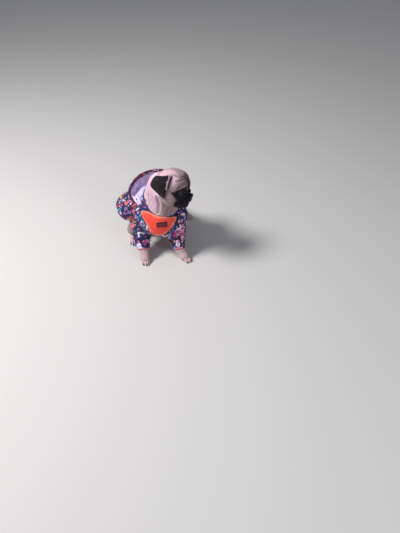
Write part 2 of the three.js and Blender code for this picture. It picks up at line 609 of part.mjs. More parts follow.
const neckGrown = neckSolid(GAP);
const neckLoose = neckSolid(1);
const besideSleeves = (made) => made.subtract(parts.clear_right).subtract(parts.clear_left);
const overCoat = (made) => besideSleeves(made.subtract(neckLoose).subtract(coatClear));
const flesh = (made) => made.subtract(trunkGrown).subtract(ground);
add('head', inHead(head), COLOUR.fawn);
add('nose', inHead(nose), COLOUR.nose, 0.4);
eyes.forEach((eye, i) => add(['eye_right', 'eye_left'][i], inHead(eye.whole), COLOUR.eye, 0.1));
add('neck', neckSolid(0).subtract(headGrown).subtract(trunkGrown), COLOUR.fawn);
add('torso', trunkSolid(0).subtract(ground), COLOUR.fawn);
['right', 'left'].forEach((side) => {
  add(`ear_${side}`, inHead(earSheet(side, 0)).subtract(headGrown), COLOUR.ear);
  add(`foreleg_${side}`, flesh(parts[`foreleg_${side}`]).subtract(neckGrown), COLOUR.fawn);
  add(`forepaw_${side}`, parts[`forepaw_${side}`].subtract(ground), COLOUR.fawn);
  add(`hindleg_${side}`, flesh(parts[`hindleg_${side}`]), COLOUR.fawn);
  add(`hindpaw_${side}`, flesh(parts[`hindpaw_${side}`]), COLOUR.fawn);
  add(`jacket_sleeve_${side}`, parts[`sleeve_${side}`].subtract(coatClear).subtract(neckLoose), COLOUR.print);
  add(`jacket_cuff_${side}`, parts[`cuff_${side}`].subtract(coatClear), COLOUR.trim);
});
add('tail', flesh(tail), COLOUR.fawn);
add('jacket_body', jacketBody, COLOUR.print);
add('jacket_hem', hemBand, COLOUR.trim);
add('hood', overCoat(hoodShell).subtract(rimRoom).subtract(strapRoom), COLOUR.print);
add('hood_lining', overCoat(hoodLining).subtract(rimRoom).subtract(strapRoom), COLOUR.lining);
add('hood_rim', overCoat(hoodRim), COLOUR.rim);
add('harness_plate', besideSleeves(harnessPlate.subtract(neckLoose)), COLOUR.harness);
add('harness_edge', besideSleeves(harnessEdge.subtract(neckLoose)), COLOUR.binding);
add('harness_patch', harnessPatch, COLOUR.patch);
add('girth_strap', besideSleeves(girthStrap.subtract(neckLoose).subtract(underHood)), COLOUR.webbing);
add('girth_buckle', besideSleeves(girthBuckle), COLOUR.buckle, 0.4);
nails.forEach((nail) => add(nail.name, nail.whole.subtract(ground), COLOUR.claw, 0.4));

// The row's own frame: the middle of the footprint, at floor height.
const bounds = new THREE.Box3().setFromObject(root);
root.children.forEach((node) => {
  node.geometry.translate(-(bounds.min.x + bounds.max.x) / 2, -(bounds.min.y + bounds.max.y) / 2, -bounds.min.z);
});

export default root;
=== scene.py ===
# %% [markdown]
# # A pug puppy in a hooded jacket and a chest harness
# The solids of this dog are already packed at life size. This file gives them their looks: one skin with
# its folds, a short coat, wet eyes, nose leather, claws, and the sewn clothes. The frame is loaded first,
# and its box is measured at once and printed.

import json
import math
import bpy
import numpy as np
import openvdb
from mathutils import Matrix, Vector

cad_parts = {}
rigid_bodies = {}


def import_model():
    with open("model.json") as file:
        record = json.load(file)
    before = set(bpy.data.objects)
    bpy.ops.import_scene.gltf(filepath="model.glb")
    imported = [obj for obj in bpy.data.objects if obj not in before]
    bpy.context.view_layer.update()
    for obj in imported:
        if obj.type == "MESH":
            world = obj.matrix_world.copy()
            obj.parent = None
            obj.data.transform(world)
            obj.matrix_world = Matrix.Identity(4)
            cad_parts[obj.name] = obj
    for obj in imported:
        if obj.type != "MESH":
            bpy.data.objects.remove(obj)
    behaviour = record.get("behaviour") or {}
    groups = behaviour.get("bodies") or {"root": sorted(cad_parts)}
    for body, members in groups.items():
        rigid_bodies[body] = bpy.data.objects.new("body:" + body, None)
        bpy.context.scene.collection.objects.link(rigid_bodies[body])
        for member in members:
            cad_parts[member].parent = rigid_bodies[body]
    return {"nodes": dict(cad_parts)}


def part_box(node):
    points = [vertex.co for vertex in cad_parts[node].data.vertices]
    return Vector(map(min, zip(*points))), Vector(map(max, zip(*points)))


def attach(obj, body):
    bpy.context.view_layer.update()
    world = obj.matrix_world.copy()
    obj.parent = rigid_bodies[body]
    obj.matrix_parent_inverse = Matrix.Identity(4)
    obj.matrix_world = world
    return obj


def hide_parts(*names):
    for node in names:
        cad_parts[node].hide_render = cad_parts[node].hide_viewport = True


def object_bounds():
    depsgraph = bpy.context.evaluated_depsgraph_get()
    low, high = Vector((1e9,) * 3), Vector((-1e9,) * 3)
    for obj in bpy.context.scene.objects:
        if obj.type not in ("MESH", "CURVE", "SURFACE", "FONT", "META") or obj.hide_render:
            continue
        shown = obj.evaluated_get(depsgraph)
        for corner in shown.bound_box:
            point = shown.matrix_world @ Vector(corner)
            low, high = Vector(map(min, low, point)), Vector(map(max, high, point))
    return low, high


for leftover in list(bpy.data.objects):
    bpy.data.objects.remove(leftover)
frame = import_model()
cad_box = [list(corner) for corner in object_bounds()]
print("solids reach", [round((b - a) * 1000) for a, b in zip(*cad_box)], "mm")

# %% [markdown]
# ## The frame of the design
# The sizes below are in millimetres, and were chosen in a frame of their own before the solids were centred
# on the floor. The right eyeball's middle is known in both frames, so the difference between them is the
# shift. The head also has its own frame, nose along -Y and crown along +Z, which is turned to look over the
# shoulder.

# %% Design frame and head frame
def turn(yaw, pitch, roll):
    spin = Matrix.Rotation(math.radians(yaw), 3, "Z") @ Matrix.Rotation(math.radians(pitch), 3, "X")
    return np.array(spin @ Matrix.Rotation(math.radians(roll), 3, "Y"))


HEAD_AT = np.array([13.3, -55, 232])
HEAD_TURN = turn(72.3, 15.9, 7.1)
EYE_RADIUS = 11.4
SIDES = {"right": -1, "left": 1}
EYE_AT = {s: np.array([s * 22.5, -30.5, 0]) for s in SIDES.values()}


def from_head(p):
    return np.asarray(p) @ HEAD_TURN.T + HEAD_AT


def to_head(p):
    return (np.asarray(p) - HEAD_AT) @ HEAD_TURN


low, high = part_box("eye_right")
SHIFT = np.array((low + high) / 2) * 1000 - from_head(EYE_AT[-1])


def place(p):
    return (np.asarray(p) + SHIFT) / 1000


print("shift of the design", SHIFT.round(2))

# %% [markdown]
# ## Forms as distances
# A limb, an egg or a ball can be told by how far any point lies outside it. Such distances blend softly
# where two forms meet, which is what flesh does, and the same rules gave the solids, so skin and solids
# agree. Each maker below returns a function that takes many points at once.

# %% Distance forms
def vec(*xyz):
    return np.array(xyz, float)


def lerp(a, b, t):
    return a + (b - a) * t


def smooth(x, low, high):
    t = np.clip((x - low) / (high - low), 0, 1)
    return t * t * (3 - 2 * t)


def unit(v):
    v = np.asarray(v, float)
    return v / np.maximum(np.linalg.norm(v, axis=-1, keepdims=True), 1e-9)


def egg(at, half):
    at, half = np.array(at, float), np.array(half, float)

    def field(p):
        q = (p - at) / half
        near = np.sqrt((q * q).sum(-1))
        slope = np.sqrt(((q / half) ** 2).sum(-1))
        return np.where(near < 1e-3, -half.min(), near * (near - 1) / np.maximum(slope, 1e-6))

    return field


def ball(at, radius):
    return lambda p: np.linalg.norm(p - np.array(at, float), axis=-1) - radius


def limb(start, end, first, last):
    start, end = np.array(start, float), np.array(end, float)
    along = end - start

    def field(p):
        t = np.clip((p - start) @ along / (along @ along), 0, 1)
        return np.linalg.norm(p - start - t[..., None] * along, axis=-1) - lerp(first, last, t)

    return field


def blend(soft, near, far):
    share = np.maximum(soft - np.abs(near - far), 0) / soft
    return np.minimum(near, far) - share * share * soft / 4


def merge(soft, *fields):
    def field(p):
        near = fields[0](p)
        for other in fields[1:]:
            near = blend(soft, near, other(p))
        return near

    return field


def carve(form, tool, soft):
    return lambda p: -blend(soft, -form(p), tool(p))


def chain(points, first, last, soft=1.0):
    steps = len(points) - 1
    width = [lerp(first, last, i / steps) for i in range(steps + 1)]
    return merge(soft, *(limb(points[i], points[i + 1], width[i], width[i + 1]) for i in range(steps)))


def catmull(points, count):
    p = np.array([np.array(q, float) for q in points])
    p = np.vstack([2 * p[0] - p[1], p, 2 * p[-1] - p[-2]])
    spans = len(p) - 3
    t = np.linspace(0, spans, count)
    i = np.minimum(t.astype(int), spans - 1)
    f = (t - i)[:, None]
    a, b, c, d = (p[i + k] for k in range(4))
    return 0.5 * (2 * b + (c - a) * f + (2 * a - 5 * b + 4 * c - d) * f**2 + (3 * b - a - 3 * c + d) * f**3)


def ripples(seed, longest, count=7):
    draw = np.random.default_rng(seed)
    ways = unit(draw.normal(size=(count, 3))) * 2 * np.pi
    ways = ways / (longest * draw.uniform(0.45, 1.0, count))[:, None]
    starts = draw.uniform(0, 2 * np.pi, count)

    def height(p):
        return sum(np.sin(p @ way + start) for way, start in zip(ways, starts)) / count

    return height


def settle(form, points):
    """Moves points onto the surface of a form, along its slope."""
    p = np.array(points, float)
    for _ in range(8):
        near = form(p)
        slope = np.stack([form(p + step) - form(p - step) for step in np.eye(3) * 0.5], -1)
        p -= unit(slope) * near[:, None]
    return p


print("a ball of 10 is", ball((0, 0, 0), 10)(vec(12, 0, 0)), "mm away at 12")

# %% [markdown]
# ## Meshes and finishes
# Every piece is put into the scene in the same way: points in millimetres are moved into the frame, the
# piece rides on the dog's one body and stands in for its solids.

# %% Making a piece
made = {}


def piece(name, points, faces, look, replaces=(), slot=None, smooth_shade=True, marks=None):
    mesh = bpy.data.meshes.new(name)
    mesh.from_pydata(place(points).tolist(), [], faces if isinstance(faces, list) else faces.tolist())
    mesh.polygons.foreach_set("use_smooth", [smooth_shade] * len(mesh.polygons))
    for key, values in (marks or {}).items():
        layer = mesh.attributes.new(key, "FLOAT", "POINT")
        layer.data.foreach_set("value", np.asarray(values, np.float32))
    mesh.materials.append(look)
    mesh.update()
    obj = bpy.data.objects.new(name, mesh)
    bpy.context.scene.collection.objects.link(obj)
    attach(obj, "root")
    if replaces:
        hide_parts(*replaces)
    made[name] = obj
    return obj


def grid_faces(rows, cols, wrap=False):
    i, j = np.meshgrid(np.arange(rows - 1), np.arange(cols if wrap else cols - 1), indexing="ij")
    k = (j + 1) % cols
    return np.stack([i * cols + j, i * cols + k, (i + 1) * cols + k, (i + 1) * cols + j], -1).reshape(-1, 4)


def tube_faces(rows, cols):
    """Faces of a ring-shaped tube, whose last row meets its first."""
    j = np.arange(cols)
    after, last = np.roll(j, -1), (rows - 1) * cols
    return np.vstack([grid_faces(rows, cols, wrap=True), np.stack([last + j, last + after, after, j], -1)])


def fan_round(first, second, count):
    """Directions all round a line: a row for each of its points, from the two axes across it there."""
    spin = np.linspace(0, 2 * np.pi, count, endpoint=False)
    return np.cos(spin)[None, :, None] * first[:, None] + np.sin(spin)[None, :, None] * second[:, None]


def triangles():
    return sum(len(p.vertices) - 2 for o in made.values() for p in o.data.polygons)


# %% [markdown]
# ## Writing materials as sums
# A finish is easier to read as arithmetic than as a tangle of boxes. The small class below wraps a socket,
# so that an expression adds the Math nodes it needs. Colours and vectors have methods of their own.

# %% Shader arithmetic
class Wire:
    def __init__(self, look, socket):
        self.look, self.socket = look, socket

    def math(self, operation, other=0.0, third=0.0, flip=False):
        first, second = (other, self) if flip else (self, other)
        return self.look.node("ShaderNodeMath", {"operation": operation}, {0: first, 1: second, 2: third})[0]

    def __add__(self, other):
        return self.math("ADD", other)

    __radd__ = __add__

    def __mul__(self, other):
        return self.math("MULTIPLY", other)

    __rmul__ = __mul__

    def __sub__(self, other):
        return self.math("SUBTRACT", other)

    def __rsub__(self, other):
        return self.math("SUBTRACT", other, flip=True)

    def __truediv__(self, other):
        return self.math("DIVIDE", other)

    def __pow__(self, other):
        return self.math("POWER", other)

    def below(self, other):
        return self.math("LESS_THAN", other)

    def top(self, other):
        return self.math("MAXIMUM", other)

    def size(self):
        return self.math("ABSOLUTE")

    def ramp(self, start, end, first=0.0, last=1.0):
        settings = {"interpolation_type": "SMOOTHSTEP"}
        values = {0: self, 1: start, 2: end, 3: first, 4: last}
        return self.look.node("ShaderNodeMapRange", settings, values)[0]


class Look:
    def __init__(self, name, base, rough=0.7, **constants):
        self.material = bpy.data.materials.new(name)
        self.material.use_nodes = True
        self.nodes, self.links = self.material.node_tree.nodes, self.material.node_tree.links
        self.shader = self.nodes["Principled BSDF"]
        self.feed("Base Color", base)
        self.feed("Roughness", rough)
        for key, value in constants.items():
            self.shader.inputs[key.replace("_", " ")].default_value = value

    def node(self, kind, settings=None, values=None):
        made_node = self.nodes.new(kind)
        for key, value in (settings or {}).items():
            if key == "stops":
                ramp = made_node.color_ramp
                ramp.interpolation = "CONSTANT"
                while len(ramp.elements) < len(value):
                    ramp.elements.new(1.0)
                for element, (at, colour) in zip(ramp.elements, value):
                    element.position, element.color = at, (*colour, 1)
            else:
                setattr(made_node, key, value)
        for key, value in (values or {}).items():
            self.plug(made_node.inputs[key], value)
        return [Wire(self, out) for out in made_node.outputs if out.enabled]

    def plug(self, socket, value):
        if isinstance(value, Wire):
            self.links.new(value.socket, socket)
        elif hasattr(value, "__len__") and socket.type == "RGBA":
            socket.default_value = (*value, 1) if len(value) == 3 else value
        else:
            socket.default_value = value

    def feed(self, name, value):
        self.plug(self.shader.inputs[name], value)

    def mark(self, name):
        return self.node("ShaderNodeAttribute", {"attribute_name": name})[2]

    def spot(self):
        return self.node("ShaderNodeTexCoord")[3]

    def noise(self, scale, detail=3.0, warp=0.0):
        values = {"Vector": self.spot(), "Scale": scale, "Detail": detail, "Distortion": warp}
        return self.node("ShaderNodeTexNoise", {}, values)[0]

    def cells(self, scale):
        values = {"Vector": self.spot(), "Scale": scale}
        return self.node("ShaderNodeTexVoronoi", {"feature": "F1"}, values)[0]

    def mix(self, share, first, second):
        return self.node("ShaderNodeMix", {"data_type": "RGBA"}, {0: share, 6: first, 7: second})[0]

    def relief(self, height, strength=0.5, distance=0.001):
        bump = self.node("ShaderNodeBump", {}, {"Strength": strength, "Distance": distance, "Height": height})
        self.feed("Normal", bump[0])


print("shader arithmetic is ready")

# %% [markdown]
# ## The head as forms
# A pug's skull is nearly round, the muzzle is short and square, and a roll of skin lies over the nose. The
# same eggs as in the solids give these. The wrinkles are drawn as lines on the face: along each the skin is
# carved in, and beside it the skin swells, as it does where loose skin gathers over the brows, the cheeks
# and the nose.

# %% Head forms
def both(make):
    return [make(s) for s in SIDES.values()]


skull = merge(
    9,
    egg((0, -9, 0.5), (41.5, 40, 34.5)),
    egg((0, -20, 7), (36, 26.5, 28)),
    *both(lambda s: egg((s * 26, -14, -17), (20, 27, 22))),
    egg((0, -4, -28), (28, 30, 17)),
    *both(lambda s: egg((s * 29, -25, -29), (11.5, 14, 10))),
)
muzzle = merge(
    5,
    egg((0, -39, -21), (28, 22, 20)),
    *both(lambda s: egg((s * 13, -47, -27), (14.5, 15.5, 13.5))),
    egg((0, -36, -40), (19, 20, 9.5)),
)
nose_roll = merge(3, *both(lambda s: limb((0, -51, 0), (s * 18, -46, -9), 4.5, 4)))
brow = lambda s: merge(5, egg((s * 19, -33, 9), (11, 7, 5)), ball(EYE_AT[s], EYE_RADIUS + 1.6))
plain_head = merge(4, merge(7, skull, muzzle), nose_roll, brow(-1), brow(1))


def on_head(x, z, y=-60.0):
    """Walks back along the head's y until it meets the head, for lines that are drawn on its face."""
    p = np.array([float(x), y, float(z)])
    for _ in range(60):
        gap = float(plain_head(p[None])[0])
        p[1] += max(gap, 0.05) * 0.8
        if gap < 0.1:
            break
    return p


def drawn(points, count=9):
    flat = catmull([(x, 0, z) for x, z in points], count)
    return [on_head(x, z) for x, _, z in flat]


def mouth_at(s, t):
    return vec(s * 28 * t**0.8, -62 + 28 * t**2.2, -29 - 9 * math.sin(t * 2.2))


mouth_line = [chain([mouth_at(s, t) for t in np.linspace(0, 1, 9)], 1.7, 1.3) for s in (-1, 1)]
lip_cleft = chain([(0, -64, -17), (0, -65, -23), (0, -63, -30)], 1.2, 1.4)
folds = [
    ([(0, 29), (-1, 20), (0.5, 11)], 2.0, 1.4),
    *both(lambda s: ([(s * 7.5, 26), (s * 7, 18), (s * 4.5, 9)], 1.9, 1.3)),
    *both(lambda s: ([(s * 34, 15), (s * 26, 21), (s * 14, 22), (s * 8.5, 14)], 1.8, 1.8)),
    *both(lambda s: ([(s * 20, -12), (s * 13, -7), (s * 6, 5), (0, 7)], 1.7, 1.7)),
    *both(lambda s: ([(s * 9, -3), (s * 17, -12.5), (s * 27, -16), (s * 34, -12)], 2.0, 1.5)),
    *both(lambda s: ([(s * 27, -20), (s * 33, -27), (s * 33, -34)], 1.6, 1.3)),
    ([(-29, 26), (-17, 29.5), (0, 30.5), (17, 29.5), (29, 26)], 1.5, 1.5),
    ([(-24, 31), (-12, 33), (0, 33.4), (12, 33), (24, 31)], 1.2, 1.2),
]
fold_lines = [chain(drawn(points), first, last) for points, first, last in folds]
ear_slit = chain([(-24, -8.5, 31.5), (-32, -8.5, 25), (-37.5, -9.5, 16), (-41, -10, 8)], 2.6, 1.2)
ear_rim = chain([(-24, -1.5, 27), (-31.5, -3, 30.5), (-41.5, -5.5, 21.5), (-46, -8, 8)], 2.3, 1.4)


def face_folds(p):
    near = ear_slit(p)
    for line in fold_lines:
        near = np.minimum(near, line(p))
    return near


gaze = {s: unit(vec(s * 0.64, -0.77, 0.04)) for s in (-1, 1)}


def eye_axes(s):
    across = unit(np.cross(vec(0, 0, 1), gaze[s]))
    return across, np.cross(gaze[s], across), gaze[s]


def lid_opening(s):
    """An almond that the lids leave open, drawn out along the gaze."""
    across, up, out = eye_axes(s)

    def field(p):
        q = p - EYE_AT[s]
        x, y, z = q @ across, q @ up, q @ out
        wide, tall = 9.4, 8.0
        near = np.sqrt((x / wide) ** 2 + ((y + 0.4) / (tall * (1 - 0.2 * (x / wide) ** 2))) ** 2)
        return np.maximum((near - 1) * 8.0, 2 - z)

    return field


socket = {s: ball(EYE_AT[s], EYE_RADIUS + 0.2) for s in (-1, 1)}
nose_button = merge(3, egg((0, -59, -10), (9.5, 5, 6.5)), egg((0, -57.5, -16), (4.5, 4.5, 4)))


def head_form(q):
    lines = face_folds(q)
    near = merge(2, plain_head, ear_rim)(q) - 0.9 * np.exp(-(((lines - 1.9) / 1.5) ** 2))
    near = -blend(1.8, -near, lines)
    for line in (*mouth_line, lip_cleft):
        near = -blend(1.4, -near, line(q))
    for s in (-1, 1):
        near = -blend(1.6, -near, lid_opening(s)(q))
        near = np.maximum(near, -socket[s](q))
        near = -blend(1.0, -near, egg((s * 37, 2, 11), (8, 9, 11))(q))
    return np.maximum(near, -(nose_button(q) + 0.2))


print("crown is", round(float(-plain_head(vec(0, -9, 0)[None])[0]), 1), "mm over the middle of the head")

# %% [markdown]
# ## The body, the limbs and the clothes' room as forms
# Neck, trunk and limbs are drawn from the same named sizes as the solids. The coat field is the outside of
# the jacket, and it also tells which flesh is covered and so needs no fur.

# %% Body forms
HEM, CLOTH, CUFF_BAND = 61, 2.2, 7
PANEL_RIGHT, PANEL_LEFT, PANEL_END = -62, 22, 34
WRIST_GIRTH, HOCK_GIRTH = 12, 11
neck = merge(
    12,
    limb((-12, -13, 138), (8, -41, 204), 43, 35),
    limb((-19, 4, 150), (-4, -31, 202), 37, 34),
    limb((-4, -31, 202), (8, -47, 221), 34, 26),
    limb((-20, 8, 160), (-8, -19, 204), 35, 31),
)
neck_folds = [
    ([(-13, -70, 205), (-14.5, -69, 192), (-15, -64.5, 172), (-19, -59, 148)], 4.2, 3.0),
    ([(10, -67, 176), (4, -64, 160), (-2, -58, 142)], 1.8, 1.2),
    ([(18, -60, 165), (15, -54, 148), (10, -50, 134)], 1.6, 1.1),
    ([(-36, -48, 206), (-40, -42, 186), (-46, -34, 164)], 1.8, 1.4),
    ([(-40, 2, 200), (-24, 16, 199), (-2, 12, 205), (18, 0, 210)], 1.0, 0.6),
    ([(-46, 10, 180), (-26, 30, 179), (2, 28, 186), (24, 10, 192)], 0.9, 0.6),
]
neck_lines = [chain(list(settle(neck, catmull(line, 9))), first, last) for line, first, last in neck_folds]
loose_skin = ripples(31, 52)


def neck_form(p):
    lines = np.full(p.shape[:-1], 1e3)
    for line in neck_lines:
        lines = np.minimum(lines, line(p))
    front = 0.5 + 0.8 * smooth(-p[..., 1], 0, 30)
    near = neck(p) - front * 1.3 * np.exp(-(((lines - 3.2) / 3.0) ** 2)) - 1.1 * loose_skin(p)
    return -blend(3.0, -near, lines)


trunk = merge(
    14,
    egg((-18, -16, 106), (50, 50, 52)),
    limb((-19, -4, 106), (-48, 84, 60), 47, 50),
    egg((-52, 88, 48.5), (54, 56, 50)),
)
jacket = merge(
    16,
    egg((-20, -13, 104), (56, 54, 54)),
    egg((-20, -4, 122), (64, 48, 38)),
    limb((-22, 4, 114), (-54, 86, 72), 56, 58),
    egg((-105, 60, 87), (42, 38, 42)),
    egg((-54, 88, 56), (61, 60, 64)),
    egg((0, 72, 80), (34, 42, 32)),
)


def room(p):
    open_side = smooth(np.maximum(p[..., 1], -p[..., 0] - 34), 39, 52)
    below = smooth(HEM - p[..., 2], 2, 15)
    lifted = p.copy()
    lifted[..., 2] = lerp(p[..., 2], np.maximum(p[..., 2], HEM + 10), open_side)
    return jacket(lifted) - 40 * open_side * below


FORE = {
    "right": dict(shoulder=vec(-59, -12, 116), elbow=vec(-69, -17, 76), wrist=vec(-64, -56, 30),
                  palm=vec(-61, -73, 12), toes=vec(-54.5, -86, 5),
                  bulk=(26, 24, 15.5), sag=vec(-75, -39, 47)),
    "left": dict(shoulder=vec(27, -18, 116), elbow=vec(25.5, -26, 76), wrist=vec(30.5, -54, 31),
                 palm=vec(43, -64, 12), toes=vec(59, -72, 5),
                 bulk=(27, 21, 14.5), sag=vec(22, -38, 52)),
}
HIND = {
    "right": dict(hip=vec(-78, 80, 50), knee=vec(-100, 19.5, 39.5), hock=vec(-104, 66, 15),
                  palm=vec(-101, 22, 10), toes=vec(-98, -2, 5), girth=(30, 16, 11)),
    "left": dict(hip=vec(-22, 92, 54), knee=vec(15, 66, 43), hock=vec(14, 133, 15),
                 palm=vec(37, 133, 11), toes=vec(57, 126, 5), girth=(31, 17, 11)),
}


def sleeve(leg, less=0.0):
    a, b, c = (r - less for r in leg["bulk"])
    return merge(10, limb(leg["shoulder"], leg["elbow"], a, b), limb(leg["elbow"], leg["wrist"], b, c),
                 ball(leg["sag"], 17.5 - less))


def foreleg(leg):
    return merge(8, limb(leg["shoulder"], leg["elbow"], 22, 15), limb(leg["elbow"], leg["wrist"], 15, 11),
                 limb(leg["wrist"], leg["palm"], 11, 10))


def toe_lines(palm, toes, spread=5.6):
    found = []
    for n in (-1.5, -0.5, 0.5, 1.5):
        along = unit((toes - palm) * vec(1, 1, 0))
        across = vec(-along[1], along[0], 0)
        tip = toes + across * n * spread - along * (5.5 if abs(n) > 1 else 0)
        knuckle = lerp(palm, tip, 0.45) + across * n * 1.2
        knuckle[2], tip[2] = 10.8, 4
        found.append((knuckle, tip, unit((tip - knuckle) * vec(1, 1, 0))))
    return found


def paw(start, palm, toes, girth):
    middle = lerp(palm, toes, 0.45)
    middle[2] = 6.2
    pad = merge(6, limb(start, palm, girth, girth - 1.5), limb(palm, middle, girth - 1.5, 6.8))
    lines = toe_lines(palm, toes)
    whole = merge(1.6, pad, *(limb(k, t, 4.0, 4.5) for k, t, _ in lines))
    for (k, t, along), (other_k, other_t, _) in zip(lines[:-1], lines[1:]):
        start_at, end_at = (k + other_k) / 2 + vec(0, 0, 4.4), (t + other_t) / 2 + along * 4 + vec(0, 0, 2)
        whole = carve(whole, limb(start_at, end_at, 0.7, 1.7), 1.6)
    return whole


def ankle(leg):
    return leg["wrist"] if "wrist" in leg else leg["hock"]


def paw_of(leg):
    return paw(ankle(leg), leg["palm"], leg["toes"], WRIST_GIRTH if "wrist" in leg else HOCK_GIRTH)


def hindleg(leg):
    return merge(6, limb(leg["hip"], leg["knee"], leg["girth"][0], leg["girth"][1]),
                 limb(leg["knee"], leg["hock"], leg["girth"][1] - 1.5, leg["girth"][2]))


def tail_at(t):
    spin, radius = 3.2 + t * 5.3, 16 * (1 - 0.45 * t) + 60 * max(0.12 - t, 0)
    return vec(-58 + 12 * t, 150 + radius * math.cos(spin) * 0.75, 42 + radius * math.sin(spin))


tail = chain([tail_at(t) for t in np.linspace(0, 1, 22)], 8.5, 4.25)
print("tail comes from", tail_at(0).round(1), "mm")

# %% [markdown]
# ## The ears as sheets
# Each ear is a folded flap of skin: it rises from its root, turns over and hangs beside the cheek. It is
# easiest to draw as a sheet between a front edge and a back edge. Blender's volume library then turns the
# closed sheet into distances, so that its root can blend into the head like any other flesh.

# %% Ear sheets
EAR_EDGE = {
    "right": ([(-23, 0, 26), (-32, -2, 33), (-43, -5, 23), (-47.5, -8, 6), (-48.5, -9, -14)],
              [(-31, 16, 19), (-39, 26, 24), (-47, 30, 13), (-50, 27, 0), (-49, -6, -16)]),
    "left": ([(23, -6, 24), (31, -12, 25.5), (39, -19, 20), (43.5, -25, 9), (44.5, -29, -4)],
             [(30, 12, 17), (39, 13, 17), (46, 6, 7), (48.5, -8, -5), (45, -26, -6)]),
}
EAR_ROWS, EAR_COLS = 60, 30


def sheet_solid(middle, up, thick):
    """Closes a grid of points into a sheet: its two faces lie thick apart, and a rim joins them."""
    rows, cols = middle.shape[:2]
    top, bottom = middle + up * thick[..., None] / 2, middle - up * thick[..., None] / 2
    points = np.vstack([top.reshape(-1, 3), bottom.reshape(-1, 3)])
    sides = grid_faces(rows, cols)
    under = sides[:, ::-1] + rows * cols
    loop = [*range(cols), *(i * cols + cols - 1 for i in range(1, rows)),
            *((rows - 1) * cols + j for j in range(cols - 2, -1, -1)),
            *(i * cols for i in range(rows - 2, 0, -1))]
    ring = np.array(loop)
    following = np.roll(ring, -1)
    rim = np.stack([following, ring, ring + rows * cols, following + rows * cols], -1)
    return points, np.vstack([sides, under, rim])


def grid_normals(points):
    across = np.gradient(points, axis=1)
    along = np.gradient(points, axis=0)
    return unit(np.cross(across, along))


def ear(side):
    front, back = (catmull(edge, EAR_ROWS)[:, None] for edge in EAR_EDGE[side])
    u = np.linspace(0, 1, EAR_COLS)[None, :, None]
    v = np.linspace(0, 1, EAR_ROWS)[:, None, None]
    sheet = lerp(front, back, u)
    belly = np.sin(u * np.pi) * (2 + (3 if side == "right" else 1) * (1 - v))
    curl = -1.6 * np.exp(-(((u - 0.06) / 0.07) ** 2)) + 0.5 * np.sin(v * 9 + u * 4) * u * (1 - u) * 2
    sheet = sheet + (belly + curl) * np.array([SIDES[side], 0, 0])
    thick = (2.5 * (0.5 + 0.5 * np.sin(u * np.pi) ** 0.6) * lerp(1.2, 0.8, v))[..., 0]
    return from_head(sheet), thick


ears = {side: ear(side) for side in EAR_EDGE}
front_edge = ears["right"][0][:, 0]
print("right ear sheet is", round(float(np.linalg.norm(front_edge[0] - front_edge[-1]))), "mm long")

# %% [markdown]
# ## One skin
# All flesh is one skin, so that no seam shows between head, neck, legs and tail. The distances are sampled
# on a fine lattice, blended part by part, and Blender's volume library draws the surface through it. The
# skin lies inside the solids by the depth of the coat, about a millimetre, and is flattened where the dog
# sits.

# %% Lattice of distances
PITCH = 1.5
lattice_low = np.array(cad_box[0]) * 1000 - SHIFT - 5
lattice_size = np.ceil((np.array(cad_box[1]) * 1000 - SHIFT + 5 - lattice_low) / PITCH).astype(int)
flesh = np.full(lattice_size, 20.0)


def lay(form, low, high, soft, tuck):
    first = np.clip(((np.array(low) - lattice_low) / PITCH).astype(int), 0, lattice_size)
    last = np.clip(((np.array(high) - lattice_low) / PITCH).astype(int) + 1, 0, lattice_size)
    axes = [lattice_low[k] + PITCH * np.arange(first[k], last[k]) for k in range(3)]
    here = tuple(slice(a, b) for a, b in zip(first, last))
    flesh[here] = blend(soft, flesh[here], form(np.stack(np.meshgrid(*axes, indexing="ij"), -1)) + tuck)


def around(*points, reach=30):
    points = np.array(points)
    return points.min(0) - reach, points.max(0) + reach


def closed_distances(points, faces):
    triangles_of = np.vstack([faces[:, [0, 1, 2]], faces[:, [0, 2, 3]]])
    grid = openvdb.FloatGrid.createLevelSetFromPolygons(
        (points - lattice_low).astype(np.float32), triangles=triangles_of.astype(np.uint32),
        transform=openvdb.createLinearTransform(PITCH), halfWidth=4.0)
    out = np.full(lattice_size, 4.0 * PITCH, np.float32)
    grid.copyToArray(out)
    return out


lay(lambda p: np.maximum(trunk(p), room(p) + CLOTH + 3), (-115, -75, 0), (50, 155, 165), 4, 1.2)
for side in SIDES:
    fore, hind = FORE[side], HIND[side]
    lay(foreleg(fore), *around(fore["shoulder"], fore["elbow"], fore["palm"]), 8, 1.0)
    thigh = lambda p, leg=hind: np.maximum(hindleg(leg)(p), room(p) + CLOTH + 3)
    lay(thigh, *around(hind["hip"], hind["knee"], hind["hock"], reach=38), 8, 1.0)
    for leg in (fore, hind):
        lay(paw_of(leg), *around(ankle(leg), leg["palm"], leg["toes"], reach=22), 4, 0.5)
lay(tail, *around(*(tail_at(t) for t in np.linspace(0, 1, 9)), reach=16), 6, 1.4)
lay(neck_form, (-75, -95, 90), (60, 50, 262), 12, 1.2)
lay(lambda p: head_form(to_head(p)), *around(HEAD_AT, reach=74), 5, 0.6)
ear_distance = {}
for side, (sheet, thick) in ears.items():
    closed = sheet_solid(sheet, grid_normals(sheet), np.maximum(thick, 2.2))
    ear_distance[side] = closed_distances(*closed)
    flesh[:] = blend(2.0, flesh, ear_distance[side])
heights = lattice_low[2] + PITCH * np.arange(lattice_size[2])
flesh = np.maximum(flesh, -(heights - 0.05)[None, None, :])
print("lattice", lattice_size.tolist(), "cells of", PITCH, "mm")

